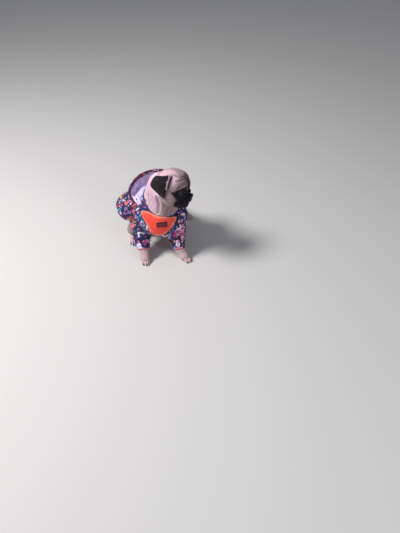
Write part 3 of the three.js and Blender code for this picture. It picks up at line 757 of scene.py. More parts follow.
# %% Surface through the lattice
def surface(field, pitch, origin):
    grid = openvdb.FloatGrid(3 * pitch)
    grid.copyFromArray(np.clip(field, -3 * pitch, 3 * pitch).astype(np.float32))
    grid.gridClass = openvdb.GridClass.LEVEL_SET
    points, _, quads = grid.convertToPolygons(isovalue=0.0, adaptivity=0.0)
    return points * pitch + origin, quads[:, ::-1].astype(int)


def main_part(points, quads):
    """Keeps the largest connected surface, so that no stray scrap is left."""
    label = np.arange(len(points))
    while True:
        low_label = label[quads].min(1)
        new = label.copy()
        for k in range(4):
            np.minimum.at(new, quads[:, k], low_label)
        new = new[new]
        if (new == label).all():
            break
        label = new
    keep = label == np.bincount(label).argmax()
    order = np.cumsum(keep) - 1
    return points[keep], order[quads[keep[quads[:, 0]]]]


def facing_out(points, quads):
    """Turns the faces of a closed surface outward, and gives the volume inside it."""
    span = points[quads]
    way = np.cross(span[:, 1] - span[:, 0], span[:, 2] - span[:, 0])
    volume = float((way * span[:, 0]).sum() / 3)
    return (quads if volume > 0 else quads[:, ::-1]), abs(volume)


skin_points, skin_faces = main_part(*surface(flesh, PITCH, lattice_low))
skin_faces, skin_volume = facing_out(skin_points, skin_faces)
print("skin", len(skin_points), "points,", round(skin_volume / 1e6, 2), "litres")

# %% [markdown]
# ## Markings, painted light and painted shade
# A fawn pug has a black mask and ears, a thumb mark on the forehead, dark lines in its wrinkles and a few
# moles with whiskers. Some shares below are painted light and shade: painted shade in the ear's opening, in
# the neck's folds and under the jaw, and in part along the wrinkles; painted light on the nape and in part on
# the crown; and a painted highlight along each brow ridge. Here a marking is a share from 0 to 1 at any
# point, worked out from named forms. Skin and tufts ask the same function, so that they always agree, and the
# materials turn the shares into colours.

# %% Markings, painted light and painted shade at any point
def dusk(near, inner, outer):
    return 1 - smooth(near, inner, outer)


mask_form = merge(
    6,
    egg((0, -48, -20), (33, 28, 27)),
    egg((0, -42, -38), (22, 22, 12)),
    *both(lambda s: egg((s * 25, -37, -1), (16.5, 15, 14))),
    *both(lambda s: egg((s * 25, -34, -23), (13.5, 16, 13))),
    *both(lambda s: limb((s * 22, -42, 7), (s * 14, -47, 14), 5, 2.5)),
    *both(lambda s: limb((s * 34, -36, -2), (s * 41.5, -23, 1), 4.5, 1.5)),
    limb((0, -52, 0), (0, -45, 13), 8, 4),
)
thumb_mark = merge(4, egg((0, -40, 24), (6, 9, 10)), egg((0, -46, 14), (8, 6, 3.5)))
moles = [(s * 45, -20, -15.5) for s in (-1, 1)] + [(s * 39, -29, -19) for s in (-1, 1)] + [(0, -33, -47)]


def ear_near(p, side):
    index = np.clip(np.rint((p - lattice_low) / PITCH).astype(int), 0, lattice_size - 1)
    return ear_distance[side][tuple(index.T)]


def cloth_over(p):
    """True where the clothes hide the flesh."""
    panel = (p[:, 0] > PANEL_RIGHT) & (p[:, 0] < PANEL_LEFT) & (p[:, 1] < PANEL_END)
    hidden = (jacket(p) < -1.0) & (panel | (p[:, 2] > HEM + 3))
    by_end = np.abs(p[:, 1] - PANEL_END + 1) < 13
    under_belly = (np.abs(p[:, 0] + 20) < 46) & (p[:, 2] < HEM + 3)
    hidden |= (jacket(p) < 3.0) & by_end & under_belly
    for leg in FORE.values():
        past = unit(leg["wrist"] - leg["elbow"])
        hidden |= (sleeve(leg)(p) < -0.5) & ((p - leg["wrist"]) @ past < -3)
    return hidden


def markings_and_painted_light(p):
    q = to_head(p)
    on_face = dusk(plain_head(q), 5, 14)
    mask = dusk(mask_form(q), -2.0, 4.0) * on_face
    sooty = dusk(mask_form(q), 0, 14) * on_face
    ear_dark = np.maximum(*(dusk(ear_near(p, side), 0.6, 3.5) for side in EAR_EDGE))
    ear_dark = ear_dark * smooth(ear_rim(q), 0.6, 2.8)
    thumb = 0.65 * dusk(thumb_mark(q), -2, 5) * on_face
    # Darker along the face wrinkles: partly the pug's own darker hair there, partly painted shade in the
    # grooves.
    lines = 0.75 * dusk(face_folds(q), -0.6, 1.4) * on_face
    # Painted shade: the opening under the front edge of the ear is painted dark.
    slit_shadow = dusk(ear_slit(q), 0.0, 1.8)
    spots = sum(0.85 * dusk(ball(at, 1.9)(q), -1, 1.2) for at in moles)
    # The dark share: black mask and ears, thumb mark and moles, with the painted shade of the ear's opening
    # and in part of the wrinkles.
    dark = np.clip(np.maximum.reduce([mask, 0.97 * ear_dark, thumb, lines, slit_shadow, spots]), 0, 1)
    far_brow = dusk(egg((4, -31, 26), (30, 24, 18))(q), -8, 8)
    # Painted shade under the jaw, down the front of the throat.
    throat_shade = dusk(limb((10, -66, 180), (2, -58, 150), 17, 15)(p), -8, 6) * dusk(neck(p), 3, 8)
    # Painted shade in the neck's three long folds.
    fold_shade = dusk(np.minimum.reduce([line(p) for line in neck_lines[:3]]), -1.5, 2.5) * dusk(neck(p), 3, 8)
    # The grey share: sooty fawn round the mask, grey on the far side of the forehead, and the painted shade
    # under the jaw and in the neck's folds.
    grey = np.clip(sooty * 0.95 + far_brow * 0.75 + throat_shade * 0.4 + fold_shade * 0.5, 0, 1)
    # Painted light: the nape and the left side of the neck, towards the key lamp, are painted pale pink.
    lit_neck_side = smooth(-p[:, 0] - 0.25 * np.maximum(p[:, 1] + 60, 0), 1, 9) * dusk(neck(p), 6, 14)
    # Paler crown: partly the coat's own paler fawn, partly painted light on the top of the head.
    crown = dusk(egg((-24, 4, 27), (20, 28, 16))(q), -3, 10)
    temple = 0.08 * dusk(egg((-36, -16, 4), (14, 16, 20))(q), -6, 8)
    # Painted highlight along the ridge over each eye.
    over_eye = both(lambda s: limb((s * 32, -34, 18), (s * 14, -42, 21), 1.8, 1.8)(q))
    brow_highlight = dusk(np.minimum(*over_eye), -0.8, 1.2)
    # The pale share: paler fur, with the painted light on the neck and crown and the painted highlight over
    # the eyes.
    pale = np.clip(np.maximum.reduce([lit_neck_side, 0.8 * crown, temple, brow_highlight]), 0, 1)
    pale = pale * (1 - dark) * (1 - 0.6 * throat_shade)
    toes = np.minimum.reduce([paw_of(leg)(p) for leg in (*FORE.values(), *HIND.values())])
    # The rose share: the paws' own pink, and the painted light on the neck.
    rose = np.clip(1.0 * dusk(toes, 0, 12) + 0.6 * lit_neck_side, 0, 1)
    tips = np.minimum(*(np.linalg.norm(p - sheet[-1].mean(0), axis=1) for sheet, _ in ears.values()))
    brown = np.clip(dusk(tips, 5, 17) + 0.7 * dusk(ball((0, -36, -48), 12)(q), 0, 9), 0, 1)
    return {"dark": dark, "grey": grey * (1 - dark), "pale": pale, "rose": rose, "brown": brown}


print("mask at the eye", markings_and_painted_light(from_head(EYE_AT[-1] + gaze[-1] * 12)[None])["dark"].round(2))

# %% [markdown]
# ## Colours of skin and coat
# The coat is a warm fawn, nearly black on the mask and ears. Its pinkish white on the nape and the left side
# of the neck is painted light, as in part is the paler crown, and the grey in the neck's folds and under the
# jaw is painted shade. Skin and tufts share one recipe. On the skin a fine bump stands for the hairs that are
# too short to model.

# %% Coat materials
# The pinkish white below is both pale fur and painted light, the rose both the paws' pink and painted light,
# and the soot both sooty fur and painted shade.
FAWN, PALE_AND_LIT, ROSE_AND_LIT = (0.42, 0.255, 0.29), (0.96, 0.66, 0.81), (0.74, 0.52, 0.54)
SOOT_AND_SHADE, BLACK, BROWN = (0.17, 0.115, 0.14), (0.006, 0.004, 0.009), (0.036, 0.020, 0.021)


def coat_look(name, lift):
    look = Look(name, FAWN, 0.72, Sheen_Weight=0.06, Sheen_Roughness=0.5, Specular_IOR_Level=0.3)
    shade = look.noise(260, 4).ramp(0.3, 0.7)
    fine = look.noise(1500, 2).ramp(0.25, 0.75)
    # Pink of the paws, which also carries the painted light on the neck.
    colour = look.mix(look.mark("rose") * 0.8, FAWN, ROSE_AND_LIT)
    # Pinkish white of pale fur, also used for the painted light and the painted highlight.
    colour = look.mix(look.mark("pale"), colour, PALE_AND_LIT)
    # Sooty grey, which also carries the painted shade under the jaw and in the neck's folds.
    colour = look.mix(look.mark("grey") * (0.55 + 0.3 * shade), colour, SOOT_AND_SHADE)
    # Black mask and ears, which also carry the painted shade of the ear's opening and in part of the
    # wrinkles.
    edge = look.mark("dark") + (look.noise(420, 3) - 0.5) * 0.5 * (1 - (look.mark("dark") * 2 - 1).size())
    colour = look.mix(edge.ramp(0.12, 0.8), colour, look.mix(look.mark("brown"), BLACK, BROWN))
    furry = 1 - 0.85 * look.mark("dark")
    colour = look.mix((1 - fine) * 0.2 * furry, colour, (0.12, 0.08, 0.08))
    if lift:
        colour = look.mix(look.mark("tip") * 0.3 * (1 - look.mark("dark")), colour, (0.95, 0.86, 0.84))
        colour = look.mix(look.mark("own") * 0.22 * furry, colour, (0.2, 0.14, 0.14))
    else:
        strands = look.noise(1900, 2, warp=0.6)
        look.relief(strands * 0.7 + fine * 0.3, 0.35, 0.0006)
    look.feed("Base Color", colour)
    look.feed("Roughness", 0.62 + 0.25 * fine)
    return look.material


skin_look, tuft_look = coat_look("short_coat_skin", False), coat_look("coat_tufts", True)

# %% [markdown]
# ## The skin piece
# The skin takes the place of every solid of flesh. Its unwrap is made from its own shape, by letting
# Blender flatten patches that face alike, and each tuft of the coat later takes its patch at the place of
# its root.

# %% Skin with its unwrap
FLESH = ["head", "neck", "torso", "tail", *(f"{part}_{side}" for part in
         ("ear", "foreleg", "forepaw", "hindleg", "hindpaw") for side in SIDES)]
skin = piece("skin", skin_points, skin_faces, skin_look, FLESH, "coat", marks=markings_and_painted_light(skin_points))


def unwrap(obj):
    bpy.context.view_layer.objects.active = obj
    obj.select_set(True)
    obj.data.uv_layers.new(name="OFBake")
    bpy.ops.object.mode_set(mode="EDIT")
    bpy.ops.mesh.select_all(action="SELECT")
    bpy.ops.uv.smart_project(angle_limit=math.radians(66), island_margin=0.002)
    bpy.ops.object.mode_set(mode="OBJECT")
    obj.select_set(False)
    flat = np.zeros(len(obj.data.loops) * 2, np.float32)
    obj.data.uv_layers["OFBake"].data.foreach_get("uv", flat)
    return flat.reshape(-1, len(skin_faces[0]), 2)


skin_flat = unwrap(skin)
print("skin unwrap covers", skin_flat.min((0, 1)).round(2), skin_flat.max((0, 1)).round(2))

# %% [markdown]
# ## The lie of the coat
# Hair grows away from the nose, down the neck, back along the trunk and down the legs. Each part of the
# body says where its hair points, and near a border the parts are averaged, so that the coat turns without
# a line.

# %% Direction of the hair
def leg_flow(p, joints):
    joints = np.array(joints)
    best, flow = np.full(len(p), 1e9), np.zeros_like(p)
    for a, b in zip(joints[:-1], joints[1:]):
        away = limb(a, b, 0, 0)(p)
        closer = away < best
        best[closer], flow[closer] = away[closer], unit(b - a)
    return flow


def hair_flow(p):
    q = to_head(p)
    parts = [
        (plain_head(q) - 2, unit(q - vec(0, -64, -4)) @ HEAD_TURN.T),
        (neck(p), np.broadcast_to(unit(vec(-20, 30, -83)), p.shape)),
        (trunk(p), np.broadcast_to(unit(vec(-30, 90, -45)), p.shape)),
        (tail(p) - 2, leg_flow(p, [tail_at(t) for t in np.linspace(0, 1, 12)])),
    ]
    for leg in FORE.values():
        joints = [leg["shoulder"], leg["elbow"], leg["wrist"], leg["palm"], leg["toes"]]
        parts.append((foreleg(leg)(p), leg_flow(p, joints)))
        parts.append((paw_of(leg)(p), leg_flow(p, joints)))
    for leg in HIND.values():
        joints = [leg["hip"], leg["knee"], leg["hock"]]
        parts.append((hindleg(leg)(p), leg_flow(p, joints)))
        ends = [leg["hock"], leg["palm"], leg["toes"]]
        parts.append((paw_of(leg)(p) - 1, leg_flow(p, ends)))
    total = sum(np.exp(-np.clip(near, -3, 60) / 3)[:, None] * flow for near, flow in parts)
    for side, (sheet, _) in ears.items():
        hanging = unit(sheet[-1].mean(0) - sheet[len(sheet) // 3].mean(0))
        total = lerp(unit(total), hanging, dusk(ear_near(p, side), 0.5, 3)[:, None])
    return unit(total)


print("hair on the nape points", hair_flow(vec(-20, -5, 200)[None])[0].round(2))

# %% [markdown]
# ## Tufts
# A puppy's coat is a few millimetres long and lies flat, so most of it is bump and colour on the skin. The
# tufts are thin tapered spikes of solid mesh, set where a random draw on the skin puts them, leaning with
# the lie of the coat. They break up the outline and the borders of the markings on every side. Covered skin
# gets none.

# %% Tuft roots
rng = np.random.default_rng(7)


def tuft_size(p):
    """Length, width and how far it leans out, in millimetres and radians, by place."""
    q = to_head(p)
    face = dusk(np.linalg.norm(q - vec(0, -40, -8), axis=1), 28, 52)
    on_ear = np.maximum(*(dusk(ear_near(p, side), 1, 3) for side in EAR_EDGE))
    low = dusk(p[:, 2], 14, 40)
    rear = smooth(p[:, 1], 60, 110)
    length = 4.6 + 1.8 * rear + 0.8 * dusk(neck(p), 0, 6)
    length = lerp(length, 2.0, face)
    length = lerp(length, 2.2, on_ear)
    length = lerp(length, 2.4, low * (1 - rear * 0.6))
    return length, 0.24 + 0.05 * length, 0.2 + 0.1 * rear + 0.05 * dusk(neck(p), 0, 6)


def corner_mean(values, faces, share):
    return (values[faces] * share[..., None]).sum(1)


def draw_roots(count):
    corners = skin_points[skin_faces]
    size = np.linalg.norm(np.cross(corners[:, 2] - corners[:, 0], corners[:, 3] - corners[:, 1]), axis=1) / 2
    middle = corners.mean(1)
    size = np.where(cloth_over(middle), 0, size)
    q = to_head(middle)
    size *= 1 + 0.8 * dusk(np.linalg.norm(q - vec(0, -20, 0), axis=1), 40, 60)
    size[middle[:, 2] < 1.0] = 0
    chosen = rng.choice(len(size), count, p=size / size.sum())
    a, b = rng.random((2, count))
    share = np.stack([(1 - a) * (1 - b), a * (1 - b), a * b, (1 - a) * b], 1)
    return chosen, share


smooth_normals = np.zeros(len(skin_points) * 3, np.float32)
skin.data.vertices.foreach_get("normal", smooth_normals)
smooth_normals = smooth_normals.reshape(-1, 3)
TUFTS, MOST_IN_A_PIECE = 76000, 19000
chosen, share = draw_roots(TUFTS)
roots = corner_mean(skin_points, skin_faces[chosen], share)
ups = unit(corner_mean(smooth_normals, skin_faces[chosen], share))
root_flat = (skin_flat[chosen] * share[..., None]).sum(1)
print(TUFTS, "roots, highest at", round(roots[:, 2].max()), "mm")

# %% Tuft meshes
TUFT_CORNERS, PATCH = 7, 0.0014


def tufts(name, pick):
    p, up, flat = roots[pick], ups[pick], root_flat[pick]
    count = len(p)
    flow = hair_flow(p) + rng.normal(0, 0.16, (count, 3))
    flow = unit(flow - (flow * up).sum(1, keepdims=True) * up)
    length, width, lean = tuft_size(p)
    length, width = length * rng.uniform(0.7, 1.2, count), width * rng.uniform(0.8, 1.2, count)
    lean = lean * rng.uniform(0.5, 1.6, count)
    side = np.cross(up, flow)
    way = flow * np.cos(lean)[:, None] + up * np.sin(lean)[:, None]
    base = p - up * 0.35
    middle = base + way * (length * 0.5)[:, None] + up * 0.25
    tip = base + way * length[:, None] + up * (0.1 - 0.06 * length)[:, None]
    ring = []
    for at, scale in ((base, 1.0), (middle, 0.8)):
        for out, rise in ((-1.0, 0.0), (1.0, 0.0), (0.0, 0.6)):
            ring.append(at + (side * out + up * rise) * (width * scale)[:, None])
    ring.append(tip)
    points = np.stack(ring, 1).reshape(-1, 3)
    points[:, 2] = np.maximum(points[:, 2], 0.05)
    pattern = np.array([(0, 2, 1), (0, 1, 4), (0, 4, 3), (1, 2, 5), (1, 5, 4), (2, 0, 3), (2, 3, 5),
                        (3, 4, 6), (4, 5, 6), (5, 3, 6)])
    faces = (pattern[None] + TUFT_CORNERS * np.arange(count)[:, None, None]).reshape(-1, 3)
    marks = {key: np.repeat(value, TUFT_CORNERS) for key, value in markings_and_painted_light(p).items()}
    marks["tip"] = np.tile([0, 0, 0, 0.5, 0.5, 0.5, 1.0], count)
    marks["own"] = np.repeat(rng.random(count), TUFT_CORNERS)
    obj = piece(name, points, faces, tuft_look, (), "coat", smooth_shade=False, marks=marks)
    patch = np.array([(-1, -0.8), (1, -0.8), (0, -0.5), (-0.8, 0.1), (0.8, 0.1), (0, 0.3), (0, 1)]) * PATCH
    spread = (flat[:, None] + patch[None]).reshape(-1, 2)[faces.reshape(-1)]
    obj.data.uv_layers.new(name="OFBake").data.foreach_set("uv", spread.astype(np.float32).reshape(-1))


on_the_head = plain_head(to_head(roots)) < 4
groups = {"coat_head": on_the_head, "coat_front": ~on_the_head & (roots[:, 1] < 20),
          "coat_rear": ~on_the_head & (roots[:, 1] >= 20)}
for label, members in groups.items():
    members = np.flatnonzero(members)
    for n, part in enumerate(np.array_split(members, max(1, math.ceil(len(members) / MOST_IN_A_PIECE)))):
        tufts(f"{label}_{n + 1}", part)
print("skin and coat", triangles(), "triangles")

# %% [markdown]
# ## Eyes
# A pug's eyes are large, round and dark, with a wet surface that mirrors the light. Each is a ball turned
# along its gaze, with a swollen clear front, and the iris and pupil are painted by how far a point lies
# from the gaze.

# %% Eyeballs
def wrap_grid(count_up, count_round, make):
    tilt = np.linspace(0, np.pi, count_up)[:, None]
    spin = np.linspace(0, 2 * np.pi, count_round, endpoint=False)[None]
    return make(tilt + 0 * spin, spin + 0 * tilt).reshape(-1, 3), grid_faces(count_up, count_round, wrap=True)


eye_look = Look("wet_eye", (0.02, 0.012, 0.01), 0.05, IOR=1.34, Coat_Weight=0.15, Coat_Roughness=0.08)
out = eye_look.mark("from_gaze")
rays = eye_look.noise(900, 2)
iris = eye_look.mix(rays, (0.020, 0.008, 0.005), (0.005, 0.003, 0.002))
brown = eye_look.mix(out.ramp(0.24, 0.32), (0.002, 0.002, 0.002), iris)
eye_look.feed("Base Color", eye_look.mix(out.ramp(0.80, 0.92), brown, (0.045, 0.014, 0.014)))


def eyeball(s, label):
    across, up, out_way = eye_axes(s)

    def make(tilt, spin):
        radius = EYE_RADIUS - 0.1 + 0.5 * np.exp(-((tilt / 0.5) ** 2))
        flat = np.sin(tilt)[..., None] * (np.cos(spin)[..., None] * across + np.sin(spin)[..., None] * up)
        return EYE_AT[s] + radius[..., None] * (np.cos(tilt)[..., None] * out_way + flat)

    points, faces = wrap_grid(61, 64, make)
    from_gaze = np.arccos(np.clip(unit(points - EYE_AT[s]) @ out_way, -1, 1))
    piece(label, from_head(points), faces, eye_look.material, [label], "eye", marks={"from_gaze": from_gaze})


for side, s in SIDES.items():
    eyeball(s, f"eye_{side}")
print("eyes", round(EYE_RADIUS * 2, 1), "mm across")

# %% [markdown]
# ## Lid rims
# The skin stops a hair short of each eye. A dark wet rim fills that step, as the lid's bare edge does, and
# a tear stain darkens the outer corner.

# %% Lids
damp_look = Look("dark_lid_rim", (0.012, 0.008, 0.009), 0.28, Coat_Weight=0.4, Coat_Roughness=0.15)
damp_look.relief(damp_look.noise(1800, 2), 0.3, 0.0003)


def rope(line, width, around_count=10, closed=False):
    """A round cord along a line, with a width at each point; open ends are capped."""
    line, width = np.asarray(line, float), np.broadcast_to(width, len(line))
    if closed:
        along = unit(np.roll(line, -1, 0) - np.roll(line, 1, 0))
    else:
        along = unit(np.gradient(line, axis=0))
    up = unit(np.cross(along, vec(0.31, 0.57, 0.76)))
    ring = fan_round(up, np.cross(along, up), around_count)
    points = (line[:, None] + ring * width[:, None, None]).reshape(-1, 3)
    if closed:
        return points, tube_faces(len(line), around_count)
    last = (len(line) - 1) * around_count
    caps = [list(range(around_count))[::-1], list(range(last, last + around_count))]
    return points, grid_faces(len(line), around_count, wrap=True).tolist() + caps


def lid_rim(s, label):
    across, up, out_way = eye_axes(s)
    spin = np.linspace(0, 2 * np.pi, 56, endpoint=False)
    x = 9.3 * np.cos(spin)
    y = 7.9 * np.sin(spin) * (1 - 0.2 * np.cos(spin) ** 2) - 0.4
    z = np.sqrt(np.maximum((EYE_RADIUS + 0.15) ** 2 - x * x - y * y, 1))
    line = EYE_AT[s] + x[:, None] * across + y[:, None] * up + z[:, None] * out_way
    points, faces = rope(line, 0.75, 8, closed=True)
    piece(label, from_head(points), faces, damp_look.material, ["head"], "dark_coat")


for side, s in SIDES.items():
    lid_rim(s, f"lid_rim_{side}")

# %% [markdown]
# ## Nose leather
# The nose is a wide, short button of pebbled leather with two comma-shaped nostrils and a cleft between
# them. It is drawn through the same kind of lattice as the skin, only finer, so that the nostrils have real
# depth.

# %% Nose
def small_lattice(form, low, high, pitch):
    low, high = np.array(low, float), np.array(high, float)
    axes = [np.arange(low[k], high[k], pitch) for k in range(3)]
    field = form(np.stack(np.meshgrid(*axes, indexing="ij"), -1))
    points, quads = main_part(*surface(field, pitch, low))
    return points, facing_out(points, quads)[0]


def nose_form(p):
    near = nose_button(p)
    for s in (-1, 1):
        wing = merge(1.5, limb((s * 3.4, -65, -11.8), (s * 6.4, -63.5, -9.6), 1.9, 1.5),
                     limb((s * 6.4, -63.5, -9.6), (s * 9.6, -60, -11.4), 1.1, 0.6))
        near = -blend(0.9, -near, wing(p))
    return -blend(0.8, -near, limb((0, -64.6, -6), (0, -62.5, -19), 0.45, 0.6)(p))


nose_look = Look("nose_leather", (0.008, 0.007, 0.009), 0.42, Specular_IOR_Level=0.35)
nose_look.relief(1 - nose_look.cells(1100.0), 0.55, 0.0004)
nose_points, nose_faces = small_lattice(nose_form, (-12, -66, -22), (12, -52, -2), 0.35)
piece("nose", from_head(nose_points), nose_faces, nose_look.material, ["nose"], "nose_leather")
print("nose", len(nose_points), "points")

# %% [markdown]
# ## Claws and whiskers
# Each toe ends in a short dark claw that curves down to the floor. The whiskers are few and short, as they
# are on a puppy, and sprout in rows beside the nose and above the eyes.

# %% Claws and whiskers
claw_look = Look("dark_horn", (0.05, 0.035, 0.03), 0.38)
streaks = claw_look.noise(700, 3)
claw_look.feed("Base Color", claw_look.mix(streaks, (0.13, 0.09, 0.08), (0.035, 0.025, 0.023)))
for side in SIDES:
    for name, leg in (("forepaw", FORE[side]), ("hindpaw", HIND[side])):
        for n, (_, tip, along) in enumerate(toe_lines(leg["palm"], leg["toes"])):
            t = np.linspace(-0.3, 1, 14)[:, None]
            base = tip + along * 2.4 + vec(0, 0, 1.2)
            line = base + along * t * 4.6 + vec(0, 0, -3.7) * np.maximum(t, 0) ** 2
            points, faces = rope(line, 1.8 * (1 - 0.82 * np.maximum(t[:, 0], 0)), 12)
            points[:, 2] = np.maximum(points[:, 2], 0.3)
            label = f"{name}_{side}_claw_{n + 1}"
            piece(label, points, faces, claw_look.material, [label], "claw")

whisker_look = Look("whiskers", (0.012, 0.01, 0.01), 0.4)
hair_points, hair_faces = [], []
for s in (-1, 1):
    seeds = [(s * (9 + 5 * i), -25 - 4.5 * j) for i in range(3) for j in range(3)]
    seeds += [(s * (12 + 3.5 * i), 14) for i in range(3)]
    for x, z in seeds:
        start = on_head(x + rng.normal(0, 0.6), z + rng.normal(0, 0.6))
        way = unit(vec(s * 1.0, -0.55, -0.15 if z < 0 else 0.8) + rng.normal(0, 0.15, 3))
        t = np.linspace(0, 1, 7)[:, None]
        line = start + way * t * rng.uniform(6, 11) + vec(0, 2.0, -2.5) * t * t
        points, faces = rope(from_head(line), 0.11 * (1.15 - t[:, 0]), 4)
        before = len(points) * len(hair_points)
        hair_faces += [[k + before for k in face] for face in faces]
        hair_points.append(points)
piece("whiskers", np.vstack(hair_points), hair_faces, whisker_look.material, (), "dark_coat")
print(len(hair_points), "whiskers")

# %% [markdown]
# ## Wrapping cloth round a form
# A garment follows the body, so its surface can be found by walking inward along rays from a line through
# the body until the field is met. Rings of rays run along the line and fans of rays close its ends. The
# folds are part of the field, as ridges along chosen lines and slow ripples, so inner and outer faces share
# them.

# %% Rays onto a form
def cast(form, start, way, reach, level):
    level = np.broadcast_to(level, len(start))
    t = np.full(len(start), float(reach))
    live = np.arange(len(start))
    while len(live):
        gap = form(start[live] + way[live] * t[live][:, None]) - level[live]
        going = (gap > 0) & (t[live] > 0)
        live, gap = live[going], gap[going]
        t[live] -= np.maximum(gap * 0.6, 0.1)
    near, far = t.copy(), t + 0.1
    for _ in range(5):
        half = (near + far) / 2
        inside = form(start + way * half[:, None]) < level
        near, far = np.where(inside, half, near), np.where(inside, far, half)
    return start + way * np.maximum(near, 0.05)[:, None]


def wrapped(form, path, rows, cols, fan, reach=160.0, level=0.0, side=vec(1, 0, 0)):
    line = catmull(path, 400)
    arc = np.r_[0, np.cumsum(np.linalg.norm(np.diff(line, axis=0), axis=1))]
    stations = [(0.0, i / fan * np.pi / 2) for i in range(1, fan)]
    stations += [(i / rows, np.pi / 2) for i in range(rows + 1)]
    stations += [(1.0, np.pi - i / fan * np.pi / 2) for i in range(fan - 1, 0, -1)]
    stations = [(0.0, 0.0), *stations, (1.0, np.pi)]
    t, tilt = np.array(stations).T
    at = np.stack([np.interp(t * arc[-1], arc, line[:, k]) for k in range(3)], 1)
    slope = unit(np.gradient(line, axis=0))
    along = unit(np.stack([np.interp(t * arc[-1], arc, slope[:, k]) for k in range(3)], 1))
    across = unit(side - (along @ side)[:, None] * along)
    ring = fan_round(across, np.cross(along, across), cols)
    way = -along[:, None] * np.cos(tilt)[:, None, None] + ring * np.sin(tilt)[:, None, None]
    start = np.repeat(at[:, None], cols, 1)
    points = cast(form, start.reshape(-1, 3), way.reshape(-1, 3), reach, level).reshape(len(t), cols, 3)
    flat = points[1:-1].reshape(-1, 3)
    body = grid_faces(len(t) - 2, cols, wrap=True)
    count, j = len(flat), np.arange(cols)
    k = (j + 1) % cols
    last = count - cols
    caps = [[count, int(a), int(b)] for a, b in zip(k, j)]
    caps += [[count + 1, last + int(a), last + int(b)] for a, b in zip(j, k)]
    return np.vstack([flat, points[0, 0], points[-1, 0]]), body[:, ::-1].tolist() + [c[::-1] for c in caps]


def creases(lines):
    """Ridges of cloth along lines: each has its points, how wide it is and how high it stands."""
    paths = [(catmull(points, 9), wide, high) for points, wide, high in lines]

    def height(p):
        total = np.zeros(p.shape[:-1])
        for path, wide, high in paths:
            near = np.full(p.shape[:-1], 1e3)
            for a, b in zip(path[:-1], path[1:]):
                near = np.minimum(near, limb(a, b, 0, 0)(p))
            total = total + high * np.exp(-((near / wide) ** 2))
        return total

    return height


slow, quick_wave = ripples(3, 46), ripples(11, 17)
jacket_folds = creases([
    ([(-72, -12, 142), (-84, 10, 120), (-92, 30, 96)], 5.0, 2.4),
    ([(-78, 2, 128), (-96, 24, 112), (-110, 44, 104)], 5.5, 2.6),
    ([(-84, -8, 108), (-98, 18, 92), (-112, 44, 84)], 5.0, 2.2),
    ([(-60, 30, 146), (-80, 52, 130), (-100, 66, 118)], 6.0, 2.0),
    ([(-40, 50, 136), (-60, 80, 122), (-84, 100, 100)], 6.5, 2.2),
    ([(-10, 52, 138), (-20, 90, 124), (-40, 124, 100)], 6.5, 2.0),
    ([(20, 20, 142), (24, 52, 116), (10, 90, 96)], 6.0, 2.0),
    ([(34, 0, 128), (36, 34, 100), (26, 66, 78)], 5.5, 2.2),
    ([(-104, 30, 72), (-116, 60, 74), (-112, 92, 80)], 5.0, 1.8),
    ([(-70, -46, 120), (-66, -56, 100), (-60, -62, 84)], 4.0, 1.6),
    ([(14, -50, 104), (8, -58, 88), (-4, -64, 74)], 4.0, 1.6),
    ([(-46, -60, 82), (-30, -66, 72), (-12, -66, 74)], 4.0, 1.4),
])


def draped(p):
    waves = 1.3 * slow(p) + 0.8 * quick_wave(p)
    return jacket(p) - jacket_folds(p) - waves


print("a fold stands", round(float(jacket_folds(vec(-96, 24, 112)[None])[0]), 1), "mm high")

# %% [markdown]
# ## Cutting cloth
# The pattern pieces are cut from wrapped shells with closed cutters, as scissors would: at the neck, the
# arm holes and the hem. Blender's manifold solver is exact and quick for closed meshes.

# %% Cutting helpers
def loose(points, faces):
    mesh = bpy.data.meshes.new("cutter")
    mesh.from_pydata(place(points).tolist(), [], faces if isinstance(faces, list) else faces.tolist())
    obj = bpy.data.objects.new("cutter", mesh)
    bpy.context.scene.collection.objects.link(obj)
    return obj


def shell(form, path, thick, **look):
    outer_points, outer_faces = wrapped(form, path, **look)
    inner_points, inner_faces = wrapped(form, path, level=-thick, **look)
    count = len(outer_points)
    inside = [[k + count for k in face[::-1]] for face in inner_faces]
    return np.vstack([outer_points, inner_points]), outer_faces + inside


def brick(low, high):
    x, y, z = zip(low, high)
    points = [(a, b, c) for a in x for b in y for c in z]
    faces = [[0, 1, 3, 2], [4, 6, 7, 5], [0, 4, 5, 1], [2, 3, 7, 6], [0, 2, 6, 4], [1, 5, 7, 3]]
    return np.array(points, float), faces


def turned_brick(at, way, deep, half=120.0):
    """A slab that starts at a point and runs deep along a direction."""
    way = unit(way)
    across = unit(np.cross(vec(0, 0, 1) if abs(way[2]) < 0.9 else vec(0, 1, 0), way))
    up = np.cross(way, across)
    points, faces = brick((-half, -half, 0), (half, half, deep))
    return at + points[:, :1] * across + points[:, 1:2] * up + points[:, 2:] * way, faces


def cut(cloth, *steps):
    """Cuts a mesh with each (operation, tool) in turn, and gives back its points and faces."""
    obj = loose(*cloth)
    for operation, tool in steps:
        other = loose(*tool)
        change = obj.modifiers.new("cut", "BOOLEAN")
        change.operation, change.solver, change.object = operation, "MANIFOLD", other
        result = bpy.data.meshes.new_from_object(obj.evaluated_get(bpy.context.evaluated_depsgraph_get()))
        obj.modifiers.clear()
        obj.data = result
        bpy.data.objects.remove(other)
    points = np.zeros(len(obj.data.vertices) * 3, np.float32)
    obj.data.vertices.foreach_get("co", points)
    faces = [list(face.vertices) for face in obj.data.polygons]
    bpy.data.objects.remove(obj)
    return points.reshape(-1, 3) * 1000 - SHIFT, faces


# %% [markdown]
# ## Printed jersey
# The jacket is soft navy jersey printed all over with small scattered shapes in pink, violet, white, coral,
# sky blue and a little yellow. Here the print is worked out from position: cells of a lattice each get a
# colour and a shape, in six layers laid over one another. Bump gives the knit and the pilling of worn
# cloth.

